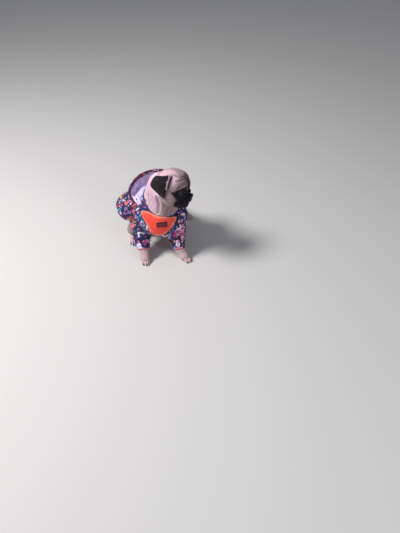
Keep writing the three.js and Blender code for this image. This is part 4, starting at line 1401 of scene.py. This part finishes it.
# %% Print and cloth materials
NAVY, PLUM = (0.013, 0.014, 0.055), (0.030, 0.008, 0.030)
INKS = [(0.0, (0.66, 0.08, 0.22)), (0.15, (0.74, 0.68, 0.84)), (0.33, (0.15, 0.06, 0.44)),
        (0.50, (0.36, 0.26, 0.74)), (0.63, (0.80, 0.17, 0.14)), (0.74, (0.88, 0.84, 0.92)),
        (0.84, (0.07, 0.30, 0.56)), (0.91, (0.74, 0.30, 0.52)), (0.97, (0.85, 0.55, 0.08))]
ROSY_INKS = [(0.0, (0.42, 0.03, 0.12)), (0.4, (0.70, 0.14, 0.26)), (0.62, (0.07, 0.02, 0.14)),
             (0.88, (0.56, 0.46, 0.62))]
LAYERS = [(36.0, "EUCLIDEAN", 0.42, 0.22, 0.40, (0.11, 0.32, 0.03), (1, 1, 1)),
          (58.0, "EUCLIDEAN", 0.60, 0.22, 0.46, (0.01, 0.02, 0.03), (1, 1, 0.62)),
          (92.0, "CHEBYCHEV", 0.55, 0.20, 0.40, (0.3, 0.1, 0.2), (0.8, 1, 1)),
          (135.0, "MANHATTAN", 0.50, 0.25, 0.60, (0.5, 0.7, 0.4), (1, 1, 1)),
          (150.0, "EUCLIDEAN", 0.50, 0.18, 0.34, (0.7, 0.5, 0.1), (1, 1, 0.28)),
          (230.0, "EUCLIDEAN", 0.35, 0.15, 0.36, (0.9, 0.2, 0.6), (1, 1, 1))]


def scatter(look, inks, scale, metric, keep, small, large, shift, stretch):
    """One layer of print: coloured shapes in the cells of a 3-D lattice, and where they lie."""
    moved = look.node("ShaderNodeVectorMath", {"operation": "ADD"}, {0: look.spot(), 1: shift})[0]
    drawn_out = look.node("ShaderNodeVectorMath", {"operation": "MULTIPLY"}, {0: moved, 1: stretch})[0]
    cells = look.node("ShaderNodeTexVoronoi", {"feature": "F1", "distance": metric},
                      {"Vector": drawn_out, "Scale": scale, "Randomness": 0.85})
    near, tint = cells[0], cells[1]
    parts = look.node("ShaderNodeSeparateColor", {}, {0: tint})
    size = small + (large - small) * parts[1]
    disc = (near - size).ramp(0.0, 0.03, 1.0, 0.0)
    hole = (near - size * 0.55).ramp(0.0, 0.03, 1.0, 0.0) * parts[2].below(0.4)
    shape = (disc - hole).top(0.0) * parts[0].below(keep)
    ink = look.node("ShaderNodeValToRGB", {"stops": inks}, {0: (parts[1] * 7.3).math("FRACT")})[0]
    return ink, shape


def printed(name, ground=NAVY, inks=INKS, layers=LAYERS):
    look = Look(name, ground, 0.8, Sheen_Weight=0.08, Specular_IOR_Level=0.3)
    colour = look.mix(look.noise(120, 3), ground, tuple(c * 1.7 for c in ground))
    for layer in layers:
        ink, shape = scatter(look, inks, *layer)
        colour = look.mix(shape * 0.95, colour, ink)
    worn = look.noise(1400, 3)
    colour = look.mix(worn.ramp(0.55, 0.9) * 0.22, colour, (0.3, 0.28, 0.36))
    look.feed("Base Color", colour)
    look.relief(look.cells(1300.0) * 0.6 + worn * 0.5, 0.5, 0.0004)
    look.feed("Roughness", 0.7 + 0.2 * worn)
    return look.material


def plain_cloth(name, first, second, scale=1200.0, strength=0.5, rough=0.8):
    look = Look(name, first, rough, Sheen_Weight=0.2)
    fuzz = look.noise(scale, 3)
    look.feed("Base Color", look.mix(look.noise(90, 3).ramp(0.3, 0.7) * 0.7 + fuzz * 0.3, first, second))
    look.relief(fuzz, strength, 0.0004)
    return look.material


print_cloth = printed("printed_jersey")
lining_cloth = plain_cloth("lavender_lining", (0.77, 0.69, 0.98), (0.58, 0.51, 0.80))
trim_cloth = plain_cloth("pink_rib", (0.60, 0.10, 0.20), (0.42, 0.05, 0.13))
rim_cloth = printed("dark_bound_rim", PLUM, ROSY_INKS, LAYERS[1:])
print("cloths are mixed")

# %% [markdown]
# ## Jacket body and hem
# The body wraps the chest and back. Under the chest it goes right round, while behind the elbows the hem
# rises clear of the belly. A pink ribbed band is sewn along the hem, slightly proud of the cloth.

# %% Jacket body
TRUNK_PATH = [(-18, -14, 108), (-24, 20, 100), (-40, 62, 80), (-52, 90, 62)]
NECK_PATH = [(-16, -6, 146), (-8, -16, 176), (2, -36, 210)]
fine = dict(rows=110, cols=230, fan=34)
neck_cut = wrapped(neck, NECK_PATH, 24, 60, 10, 90.0, 1.2)


def hem_cutters(rise):
    lower = brick((-300, -300, -100), (300, 300, HEM + rise))
    panel = brick((PANEL_RIGHT + rise, -300, -150), (PANEL_LEFT - rise, PANEL_END - rise, 300))
    return cut(lower, ("DIFFERENCE", panel))


def inside_sleeve(leg):
    beyond = leg["wrist"] + 14 * unit(leg["wrist"] - leg["elbow"])
    return wrapped(sleeve(leg, CLOTH), [leg["shoulder"], leg["elbow"], beyond], 40, 48, 10, 60.0)


coat_shell = shell(draped, TRUNK_PATH, CLOTH, **fine)
arm_holes = [("DIFFERENCE", inside_sleeve(leg)) for leg in FORE.values()]
open_shell = cut(coat_shell, ("DIFFERENCE", neck_cut), *arm_holes)
body_points, body_faces = cut(open_shell, ("DIFFERENCE", hem_cutters(6.3)))
piece("jacket_body", body_points, body_faces, print_cloth, ["jacket_body"], "print_cloth")
band_shell = shell(lambda p: draped(p) - 0.7, TRUNK_PATH, CLOTH + 0.7, **fine)
hem_points, hem_faces = cut(band_shell, ("DIFFERENCE", neck_cut), *arm_holes, ("INTERSECT", hem_cutters(6.0)),
                            ("DIFFERENCE", hem_cutters(0.0)))
piece("jacket_hem", hem_points, hem_faces, trim_cloth, ["jacket_hem"], "rib_trim")
print("jacket body", len(body_faces), "faces, hem", len(hem_faces))

# %% [markdown]
# ## Sleeves and cuffs
# The sleeves are a little long for the puppy, so they bunch in rings at the elbow and above the wrist. Each
# is a tube cut square at the cuff, where a turned band of the same cloth closes it.

# %% Sleeves
def bunched(leg, seed):
    along = unit(leg["wrist"] - leg["elbow"])
    twist = ripples(seed, 40)
    fine_waves = ripples(seed + 5, 15)

    def field(p):
        t = (p - leg["wrist"]) @ along
        rings = np.sin(t * 0.55 + 3.2 * twist(p)) * np.exp(-(((t + 27) / 22) ** 2)) * 2.1
        return sleeve(leg)(p) - np.maximum(rings, -0.9) - 1.1 * twist(p) - 0.6 * fine_waves(p) - 0.5

    return field


sleeve_fields = {}
for seed, (side, leg) in enumerate(FORE.items()):
    past = unit(leg["wrist"] - leg["elbow"])
    path = [leg["shoulder"], leg["elbow"], leg["wrist"]]
    look = dict(rows=110, cols=120, fan=16, reach=70.0)
    field = sleeve_fields[side] = bunched(leg, 20 + seed)
    cloth = shell(field, path, CLOTH, **look)
    band_at = leg["wrist"] - past * CUFF_BAND
    tube = cut(cloth, ("DIFFERENCE", turned_brick(band_at - past * 0.3, past, 60)))
    tube = cut(tube, ("DIFFERENCE", wrapped(lambda p: draped(p) + CLOTH, TRUNK_PATH, 40, 80, 12)),
               ("DIFFERENCE", wrapped(neck, NECK_PATH, 24, 60, 10, 90.0, 1.0)))
    piece(f"jacket_sleeve_{side}", *tube, print_cloth, [f"jacket_sleeve_{side}"], "print_cloth")
    wider = shell(lambda p: field(p) - 0.7, path, CLOTH + 0.9, **look)
    cuff = cut(wider, ("INTERSECT", turned_brick(band_at, past, CUFF_BAND)))
    piece(f"jacket_cuff_{side}", *cuff, print_cloth, [f"jacket_cuff_{side}"], "print_cloth")
    print("sleeve", side, len(tube[1]), "faces")

# %% [markdown]
# ## Hood
# The hood lies open behind the neck like a bowl. Its outside is printed jersey, its inside a plain lavender
# lining that sags in long folds, and a dark bound rim runs round its mouth. All three follow one surface,
# given by a base ring, a middle ring and a rim ring.

# %% Hood surface
def hood_ring(u, right, left, front, back, height, dip, rise=None):
    spin = lerp(math.pi * 1.16, -math.pi * 0.13, u)
    c, s = np.cos(spin), np.sin(spin)
    x = -22 + np.where(c < 0, right, left) * c
    y = 2 + np.where(s < 0, front, back) * s
    return np.stack([x, y, height + np.where(s < 0, dip, rise or dip) * s], -1)


def hood_at(u, v):
    full = np.sin(np.clip(np.minimum(u, 1 - u) * 5, 0, 1) * np.pi / 2)
    base = hood_ring(u, 43, 56, 48, 38, 150, 6)
    middle = hood_ring(u, lerp(50, 76, full), lerp(58, 62, full), 58, 72, lerp(152, 140, full), 6)
    rim = hood_ring(u, lerp(58, 75, full), 66, 60, 54, 160, 26, 42)
    v1 = v[..., None]
    p = base * (1 - v1) ** 2 + middle * 2 * v1 * (1 - v1) + rim * v1**2
    fold = np.sin(u * np.pi * 9) * 7 * v * (1 - v) * full
    p[..., 2] += fold
    return p


def hood_sheet(rows, cols, lift, seed, depth):
    v, u = np.meshgrid(np.linspace(0, 0.965, rows), np.linspace(0, 1, cols), indexing="ij")
    p = hood_at(u, v)
    out = -grid_normals(p)
    if (out[rows // 2, cols // 2] @ (p[rows // 2, cols // 2] - vec(-22, 2, 240))) < 0:
        out = -out
    sag = ripples(seed, 60)(p) + 0.35 * ripples(seed + 1, 20)(p)
    long_folds = np.sin(u * 19 + 2.2 * np.sin(v * 3.1 + u * 5)) * np.sin(v * np.pi) ** 0.7
    long_folds += 0.3 * np.sin(u * 47 - 3.0 * v + 1.5 * np.sin(u * 13))
    calm = smooth(0.97 - v, 0.0, 0.16) * smooth(v, 0, 0.1) * smooth(np.minimum(u, 1 - u), 0, 0.08)
    return p - out * (lift + depth * (sag + 0.8 * long_folds + 1) * calm)[..., None], out


outside, out_way = hood_sheet(70, 260, 0.9, 41, -0.9)
points, faces = sheet_solid(outside, out_way, np.full(outside.shape[:2], 1.8))
piece("hood", points, faces, print_cloth, ["hood"], "print_cloth")
inside, in_way = hood_sheet(70, 260, 3.0, 47, 4.2)
points, faces = sheet_solid(inside, in_way, np.full(inside.shape[:2], 1.1))
piece("hood_lining", points, faces, lining_cloth, ["hood_lining"], "lining")
u = np.linspace(0, 1, 220)
rim_line = hood_at(u, np.ones_like(u)) + vec(0, 0, 1)
rim_width = 3.3 + 0.3 * np.sin(u * 95) + 0.25 * np.sin(u * 41)
piece("hood_rim", *rope(rim_line, rim_width, 16), rim_cloth, ["hood_rim"], "hood_binding")
print("hood mouth", round(float(np.ptp(rim_line[:, 0]))), "mm wide")

# %% [markdown]
# ## Neck binding, armhole seams and cuff edges
# Where the neck leaves the jacket, a narrow ribbed binding closes the cloth round it, and each sleeve is
# set in with a seam. The line of such a seam is found by following the neck or sleeve outward in many
# columns until it comes out of the jacket. The cuffs end in a thin pink edge.

# %% Seams
def seam_line(form, path, lift, columns=120, rows=60):
    line = catmull(path, rows)
    slope = unit(np.gradient(line, axis=0))
    across = unit(vec(1, 0, 0) - slope[:, :1] * slope)
    way = fan_round(across, np.cross(slope, across), columns)
    start = np.repeat(line[:, None], columns, 1)
    skin_at = cast(form, start.reshape(-1, 3), way.reshape(-1, 3), 90, lift).reshape(rows, columns, 3)
    out_of = draped(skin_at)
    ring = []
    for k in range(columns):
        outside = np.flatnonzero(out_of[:, k] > 0.6)
        i = min(max(outside[0] - 1, 0), rows - 2) if len(outside) else rows - 2
        a, b = out_of[i, k], out_of[i + 1, k]
        ring.append(lerp(skin_at[i, k], skin_at[i + 1, k], np.clip((0.6 - a) / (b - a), 0, 1)))
    ring = np.array(ring)
    for _ in range(6):
        ring = (np.roll(ring, 1, 0) + ring * 2 + np.roll(ring, -1, 0)) / 4
    return ring


rib_look = Look("dark_rib", (0.02, 0.05, 0.11), 0.85)
rib_look.feed("Base Color", rib_look.mix(rib_look.noise(600, 2), (0.014, 0.026, 0.07), (0.03, 0.08, 0.15)))
rib_look.relief(rib_look.noise(1400, 2), 0.4, 0.0004)
binding = seam_line(neck, NECK_PATH, 1.6)
piece("neck_binding", *rope(binding, 1.7, 12, closed=True), rib_look.material, ["jacket_body"], "print_cloth")
for side, leg in FORE.items():
    line = seam_line(sleeve_fields[side], [leg["shoulder"], leg["elbow"], leg["wrist"]], 0.1)
    piece(f"armhole_seam_{side}", *rope(line, 0.9, 10, closed=True), rib_look.material,
          [f"jacket_sleeve_{side}"], "print_cloth")
    past = unit(leg["wrist"] - leg["elbow"])
    across = unit(np.cross(past, vec(0, 1, 0)))
    spin = np.linspace(0, 2 * np.pi, 90, endpoint=False)[:, None]
    way = np.cos(spin) * across + np.sin(spin) * np.cross(past, across)
    start = np.broadcast_to(leg["wrist"] - past * 0.6, way.shape)
    edge = cast(sleeve_fields[side], start, way, 60, 0.3)
    piece(f"cuff_edge_{side}", *rope(edge, 0.85, 10, closed=True), trim_cloth, [f"jacket_cuff_{side}"],
          "rib_trim")
print("neck opening", round(float(np.linalg.norm(np.diff(binding, axis=0), axis=1).sum())), "mm round")

# %% [markdown]
# ## Harness
# Over the jacket lies a chest plate of orange-red air mesh with a bound edge and a bare dark patch. Its
# outline is drawn flat and then laid on the draped cloth by rays, so that it follows every fold under it.
# The girth strap and its buckle are laid in the same way, round the chest.

# %% Laying pieces on the cloth
def closed_curve(points, count):
    p, spans = np.array(points, float), len(points)
    t = np.linspace(0, spans, count, endpoint=False)
    i, f = t.astype(int), (t % 1)[:, None]
    a, b, c, d = (p[(i + k) % spans] for k in (-1, 0, 1, 2))
    return 0.5 * (2 * b + (c - a) * f + (2 * a - 5 * b + 4 * c - d) * f**2 + (3 * b - a - 3 * c + d) * f**3)


def laid(start, way, bottom, top, wrap=False):
    """A closed pad between two heights over the cloth, on a grid of rays."""
    rows, cols = start.shape[:2]
    flat_start, flat_way = start.reshape(-1, 3), way.reshape(-1, 3)
    upper = cast(draped, flat_start, flat_way, 130, np.broadcast_to(top, (rows, cols)).reshape(-1))
    lower = cast(draped, flat_start, flat_way, 130, np.broadcast_to(bottom, (rows, cols)).reshape(-1))
    if wrap:
        side_faces = grid_faces(rows, cols, wrap=True)
        count = rows * cols
        j = np.arange(cols)
        k = (j + 1) % cols
        hub = [[int(a), int(b), int(count * 2)] for a, b in zip(k, j)]
        under_hub = [[int(count + a), int(count + b), int(count * 2 + 1)] for a, b in zip(j, k)]
        last = (rows - 1) * cols
        rim = np.stack([last + j, last + k, count + last + k, count + last + j], -1)
        points = np.vstack([upper, lower, upper[:cols].mean(0), lower[:cols].mean(0)])
        faces = side_faces.tolist() + (side_faces[:, ::-1] + count).tolist() + hub + under_hub
        return points, faces + rim[:, ::-1].tolist()
    middle = ((upper + lower) / 2).reshape(rows, cols, 3)
    up = unit(upper - lower).reshape(rows, cols, 3)
    return sheet_solid(middle, up, np.linalg.norm(upper - lower, axis=1).reshape(rows, cols))


PLATE = [(-43, 37), (-29, 39), (-14, 34), (4, 28), (24, 25), (45, 22), (40, 6), (30, -10), (8, -27),
         (-9, -27), (-20, -18), (-34, 13), (-43, 29)]
plate_way = unit(vec(0, -1, 0.34))
plate_across = unit(np.cross(vec(0, 0, 1), plate_way))
plate_up = np.cross(plate_way, plate_across)
PLATE_AT, PLATE_LOW = vec(-19, -26, 98), 0.6


def plate_start(xy):
    return PLATE_AT + xy[..., :1] * plate_across + xy[..., 1:] * plate_up


outline = closed_curve(PLATE, 240)
middle = vec(2, 2)
away = outline - middle
reach = np.linalg.norm(away, axis=1, keepdims=True)
r = (np.arange(1, 46) / 45)[:, None, None]
spread = middle + away * (reach - 3.2) / reach * r
pad_top = PLATE_LOW + 2.9 * (1 - r[..., 0] ** 14) ** 0.5 + 0 * spread[..., 0]
mesh_look = Look("orange_air_mesh", (0.90, 0.075, 0.045), 0.62)
holes = mesh_look.cells(620.0)
# Painted shade: the holes of the air mesh are painted a darker red, as if in shade.
hole_shade = holes.ramp(0.05, 0.4, 1.0, 0.0) * 0.5
mesh_look.feed("Base Color", mesh_look.mix(hole_shade, (0.90, 0.066, 0.038), (0.48, 0.014, 0.010)))
mesh_look.relief(holes, 0.5, 0.0005)
plate_start_grid = plate_start(spread)
way_grid = np.broadcast_to(plate_way, plate_start_grid.shape)
piece("harness_plate", *laid(plate_start_grid, way_grid, PLATE_LOW, pad_top, wrap=True), mesh_look.material,
      ["harness_plate"], "harness_cloth")


CORD_SIDES = 16


def band_on(curve, inset, half_wide, half_high, level):
    """A flat cord of cloth sewn along a closed line on the plate."""
    hub_away = curve - middle
    far = np.linalg.norm(hub_away, axis=1, keepdims=True)
    inner_line, outer_line = (middle + hub_away * (far - d) / far for d in (inset + 1, inset - 1))
    way = np.broadcast_to(plate_way, (len(curve), 3))
    a = cast(draped, plate_start(inner_line), way, 130, level)
    b = cast(draped, plate_start(outer_line), way, 130, level)
    mid, across = (a + b) / 2, unit(b - a)
    up = unit(np.cross(across, unit(np.roll(mid, -1, 0) - np.roll(mid, 1, 0))))
    up = np.where((up @ plate_way)[:, None] < 0, -up, up)
    ring = fan_round(half_wide * across, half_high * up, CORD_SIDES)
    return (mid[:, None] + ring).reshape(-1, 3), tube_faces(len(curve), CORD_SIDES)


binding_cloth = plain_cloth("salmon_binding", (0.90, 0.25, 0.17), (0.74, 0.15, 0.10), 900.0)
piece("harness_edge", *band_on(outline, 2.6, 2.6, 1.9, PLATE_LOW + 1.7), binding_cloth, ["harness_edge"],
      "harness_binding")
thread_cloth = plain_cloth("stitch_thread", (0.95, 0.5, 0.3), (0.85, 0.35, 0.2), 1500.0)
stitch_points, stitch_faces = band_on(outline, 5.9, 0.35, 0.3, PLATE_LOW + 2.9)
piece("harness_stitching", stitch_points, stitch_faces, thread_cloth, ["harness_edge"], "harness_binding")

# %% Patch on the plate
PATCH_HALF = (13.5, 6.8)
patch_look = Look("bare_patch", (0.12, 0.01, 0.02), 0.5)
rim_share = patch_look.mark("rim")
middle_red = patch_look.mix(patch_look.noise(500, 2), (0.13, 0.008, 0.018), (0.2, 0.012, 0.03))
patch_look.feed("Base Color", patch_look.mix(rim_share, middle_red, (0.008, 0.004, 0.006)))
patch_look.relief(patch_look.noise(1600, 2), 0.4, 0.0003)
x, y = np.meshgrid(np.linspace(-1, 1, 61), np.linspace(-1, 1, 37))
squircle = np.maximum((np.abs(x) ** 14 + np.abs(y) ** 14) ** (1 / 14), 1e-6)
corner = np.maximum(np.abs(x), np.abs(y)) / squircle
patch_xy = np.stack([9 + x * corner * PATCH_HALF[0], 6 + y * corner * PATCH_HALF[1]], -1)
edge_near = np.maximum((np.abs(x) - 1) * PATCH_HALF[0], (np.abs(y) - 1) * PATCH_HALF[1])
frame_high = 0.5 * smooth(-edge_near, 0.3, 0.8) * smooth(edge_near, -2.4, -1.9)
patch_top = PLATE_LOW + 3.3 + smooth(-edge_near, 0, 0.9) + frame_high
patch_way = np.broadcast_to(plate_way, (*patch_xy.shape[:2], 3))
patch_mesh = laid(plate_start(patch_xy), patch_way, PLATE_LOW + 2.6, patch_top)
marks = {"rim": np.tile(smooth(edge_near, -2.6, -2.2).reshape(-1), 2)}
piece("harness_patch", *patch_mesh, patch_look.material, ["harness_patch"], "patch", marks=marks)

# %% Girth strap and buckle
web_look = Look("woven_webbing", (0.62, 0.07, 0.025), 0.7)
girth_way = unit(vec(0.06, 1, -0.4))
girth_across = unit(np.cross(vec(0, 0, 1), girth_way))
girth_up = np.cross(girth_way, girth_across)
GIRTH_AT = vec(-24, 12, 110)


def girth_rays(spin, wide):
    """On the right the strap slips forward into the crease behind the arm."""
    slipped = wide - 10.5 * np.exp(-((spin / 0.6) ** 2))
    start = GIRTH_AT + slipped[..., None] * girth_way
    return start, np.cos(spin)[..., None] * girth_across + np.sin(spin)[..., None] * girth_up


weave = {"Vector": web_look.spot(), "Scale": 620.0}
weft = web_look.node("ShaderNodeTexWave", {"bands_direction": "DIAGONAL"}, weave)[1]
web_look.feed("Base Color", web_look.mix(weft, (0.66, 0.06, 0.03), (0.44, 0.035, 0.018)))
web_look.relief(weft, 0.4, 0.0004)
STRAP_STEPS, STRAP_COLUMNS = 300, 13
strap_spin = np.linspace(-0.75 * math.pi, 1.2 * math.pi, STRAP_STEPS)
spin, wide = np.meshgrid(strap_spin, np.linspace(0.4, 13.6, STRAP_COLUMNS), indexing="ij")
side_drop = np.abs((wide - 7) / 6.6) ** 6
strap = laid(*girth_rays(spin, wide), PLATE_LOW, PLATE_LOW + 2.3 - 0.8 * side_drop)
piece("girth_strap", *strap, web_look.material, ["girth_strap"], "webbing")

buckle_look = Look("moulded_buckle", (0.012, 0.012, 0.013), 0.38)
buckle_look.relief(buckle_look.noise(900, 2), 0.15, 0.0003)
toward = vec(56, 8, 92) - (GIRTH_AT + 7 * girth_way)
buckle_spin = math.atan2(toward @ girth_up, toward @ girth_across)
a, b = np.meshgrid(np.linspace(-1, 1, 70), np.linspace(-1, 1, 40), indexing="ij")
neck_in = 1 - 0.16 * np.exp(-(((a - 0.15) / 0.16) ** 2))
edge = np.maximum(np.abs(a), np.abs(b))
raised = (1 - edge**10) ** 0.5
prongs = np.exp(-(((np.abs(b) - 0.55) / 0.05) ** 2)) * (a > 0.15) * (a < 0.85)
groove = np.exp(-(((a - 0.15) / 0.035) ** 2)) + prongs
buckle_top = PLATE_LOW + 2.7 + 2.9 * raised - 0.7 * groove * raised
spin, wide = buckle_spin + a * 0.19, 7 + b * 9.5 * neck_in
piece("girth_buckle", *laid(*girth_rays(spin, wide), PLATE_LOW + 2.4, buckle_top), buckle_look.material,
      ["girth_buckle"], "buckle")
strap_top = strap[0][:STRAP_STEPS * STRAP_COLUMNS].reshape(STRAP_STEPS, STRAP_COLUMNS, 3)
strap_long = np.linalg.norm(np.diff(strap_top[:, STRAP_COLUMNS // 2], axis=0), axis=1).sum()
print("girth strap is", round(float(strap_long)), "mm long")

# %% [markdown]
# ## Studio
# The dog sits on a plain pale floor in plain soft light: a broad key from the upper left, where the
# photograph has its light, a weaker fill from the right and an even sky. The camera stands where the
# photographer stood, looking down by 42 degrees, and keeps the photograph's framing.

# %% Floor, light and camera
floor_mesh = bpy.data.meshes.new("floor")
floor_mesh.from_pydata([(-6, -6, 0), (6, -6, 0), (6, 6, 0), (-6, 6, 0)], [], [(0, 1, 2, 3)])
floor = bpy.data.objects.new("floor", floor_mesh)
floor_mesh.materials.append(Look("pale_floor", (0.62, 0.62, 0.61), 0.9).material)
bpy.context.scene.collection.objects.link(floor)


def lamp(name, at, toward, size, power, colour):
    data = bpy.data.lights.new(name, "AREA")
    data.shape, data.size, data.energy, data.color = "DISK", size, power, colour
    obj = bpy.data.objects.new(name, data)
    obj.location = at
    obj.rotation_euler = (Vector(toward) - Vector(at)).to_track_quat("-Z", "Y").to_euler()
    bpy.context.scene.collection.objects.link(obj)


lamp("key", (-1.15, -0.45, 1.68), (0, 0, 0.12), 0.6, 46, (1.0, 0.97, 0.965))
lamp("fill", (1.3, -1.5, 0.8), (0, 0, 0.12), 0.5, 6, (0.94, 0.95, 1.0))
world = bpy.data.worlds.new("studio")
world.use_nodes = True
world.node_tree.nodes["Background"].inputs["Color"].default_value = (0.92, 0.94, 1.0, 1)
world.node_tree.nodes["Background"].inputs["Strength"].default_value = 0.26
bpy.context.scene.world = world
bpy.context.scene.view_settings.view_transform = "Standard"

CAMERA_AT, CAMERA_DOWN = vec(86, -940, 763), 42
FILM, FOCAL_PIXELS, PICTURE_PIXELS = 36, 430, 533
lens = bpy.data.cameras.new("camera")
lens.lens, lens.sensor_width = FILM * FOCAL_PIXELS / PICTURE_PIXELS, FILM
lens.clip_start, lens.clip_end = 0.05, 20
camera = bpy.data.objects.new("camera", lens)
camera.location = place(CAMERA_AT)
camera.rotation_euler = (math.radians(90 - CAMERA_DOWN), 0, 0)
bpy.context.scene.collection.objects.link(camera)
bpy.context.scene.camera = camera

# %% [markdown]
# ## Sizes
# The solids are hidden from the render, and their box is printed with the count of pieces and triangles.

# %% Finish
for node in frame["nodes"].values():
    node.hide_render = True
print("CAD   ", [[round(x * 1000, 1) for x in corner] for corner in cad_box])
print(len(made), "pieces,", triangles(), "triangles")
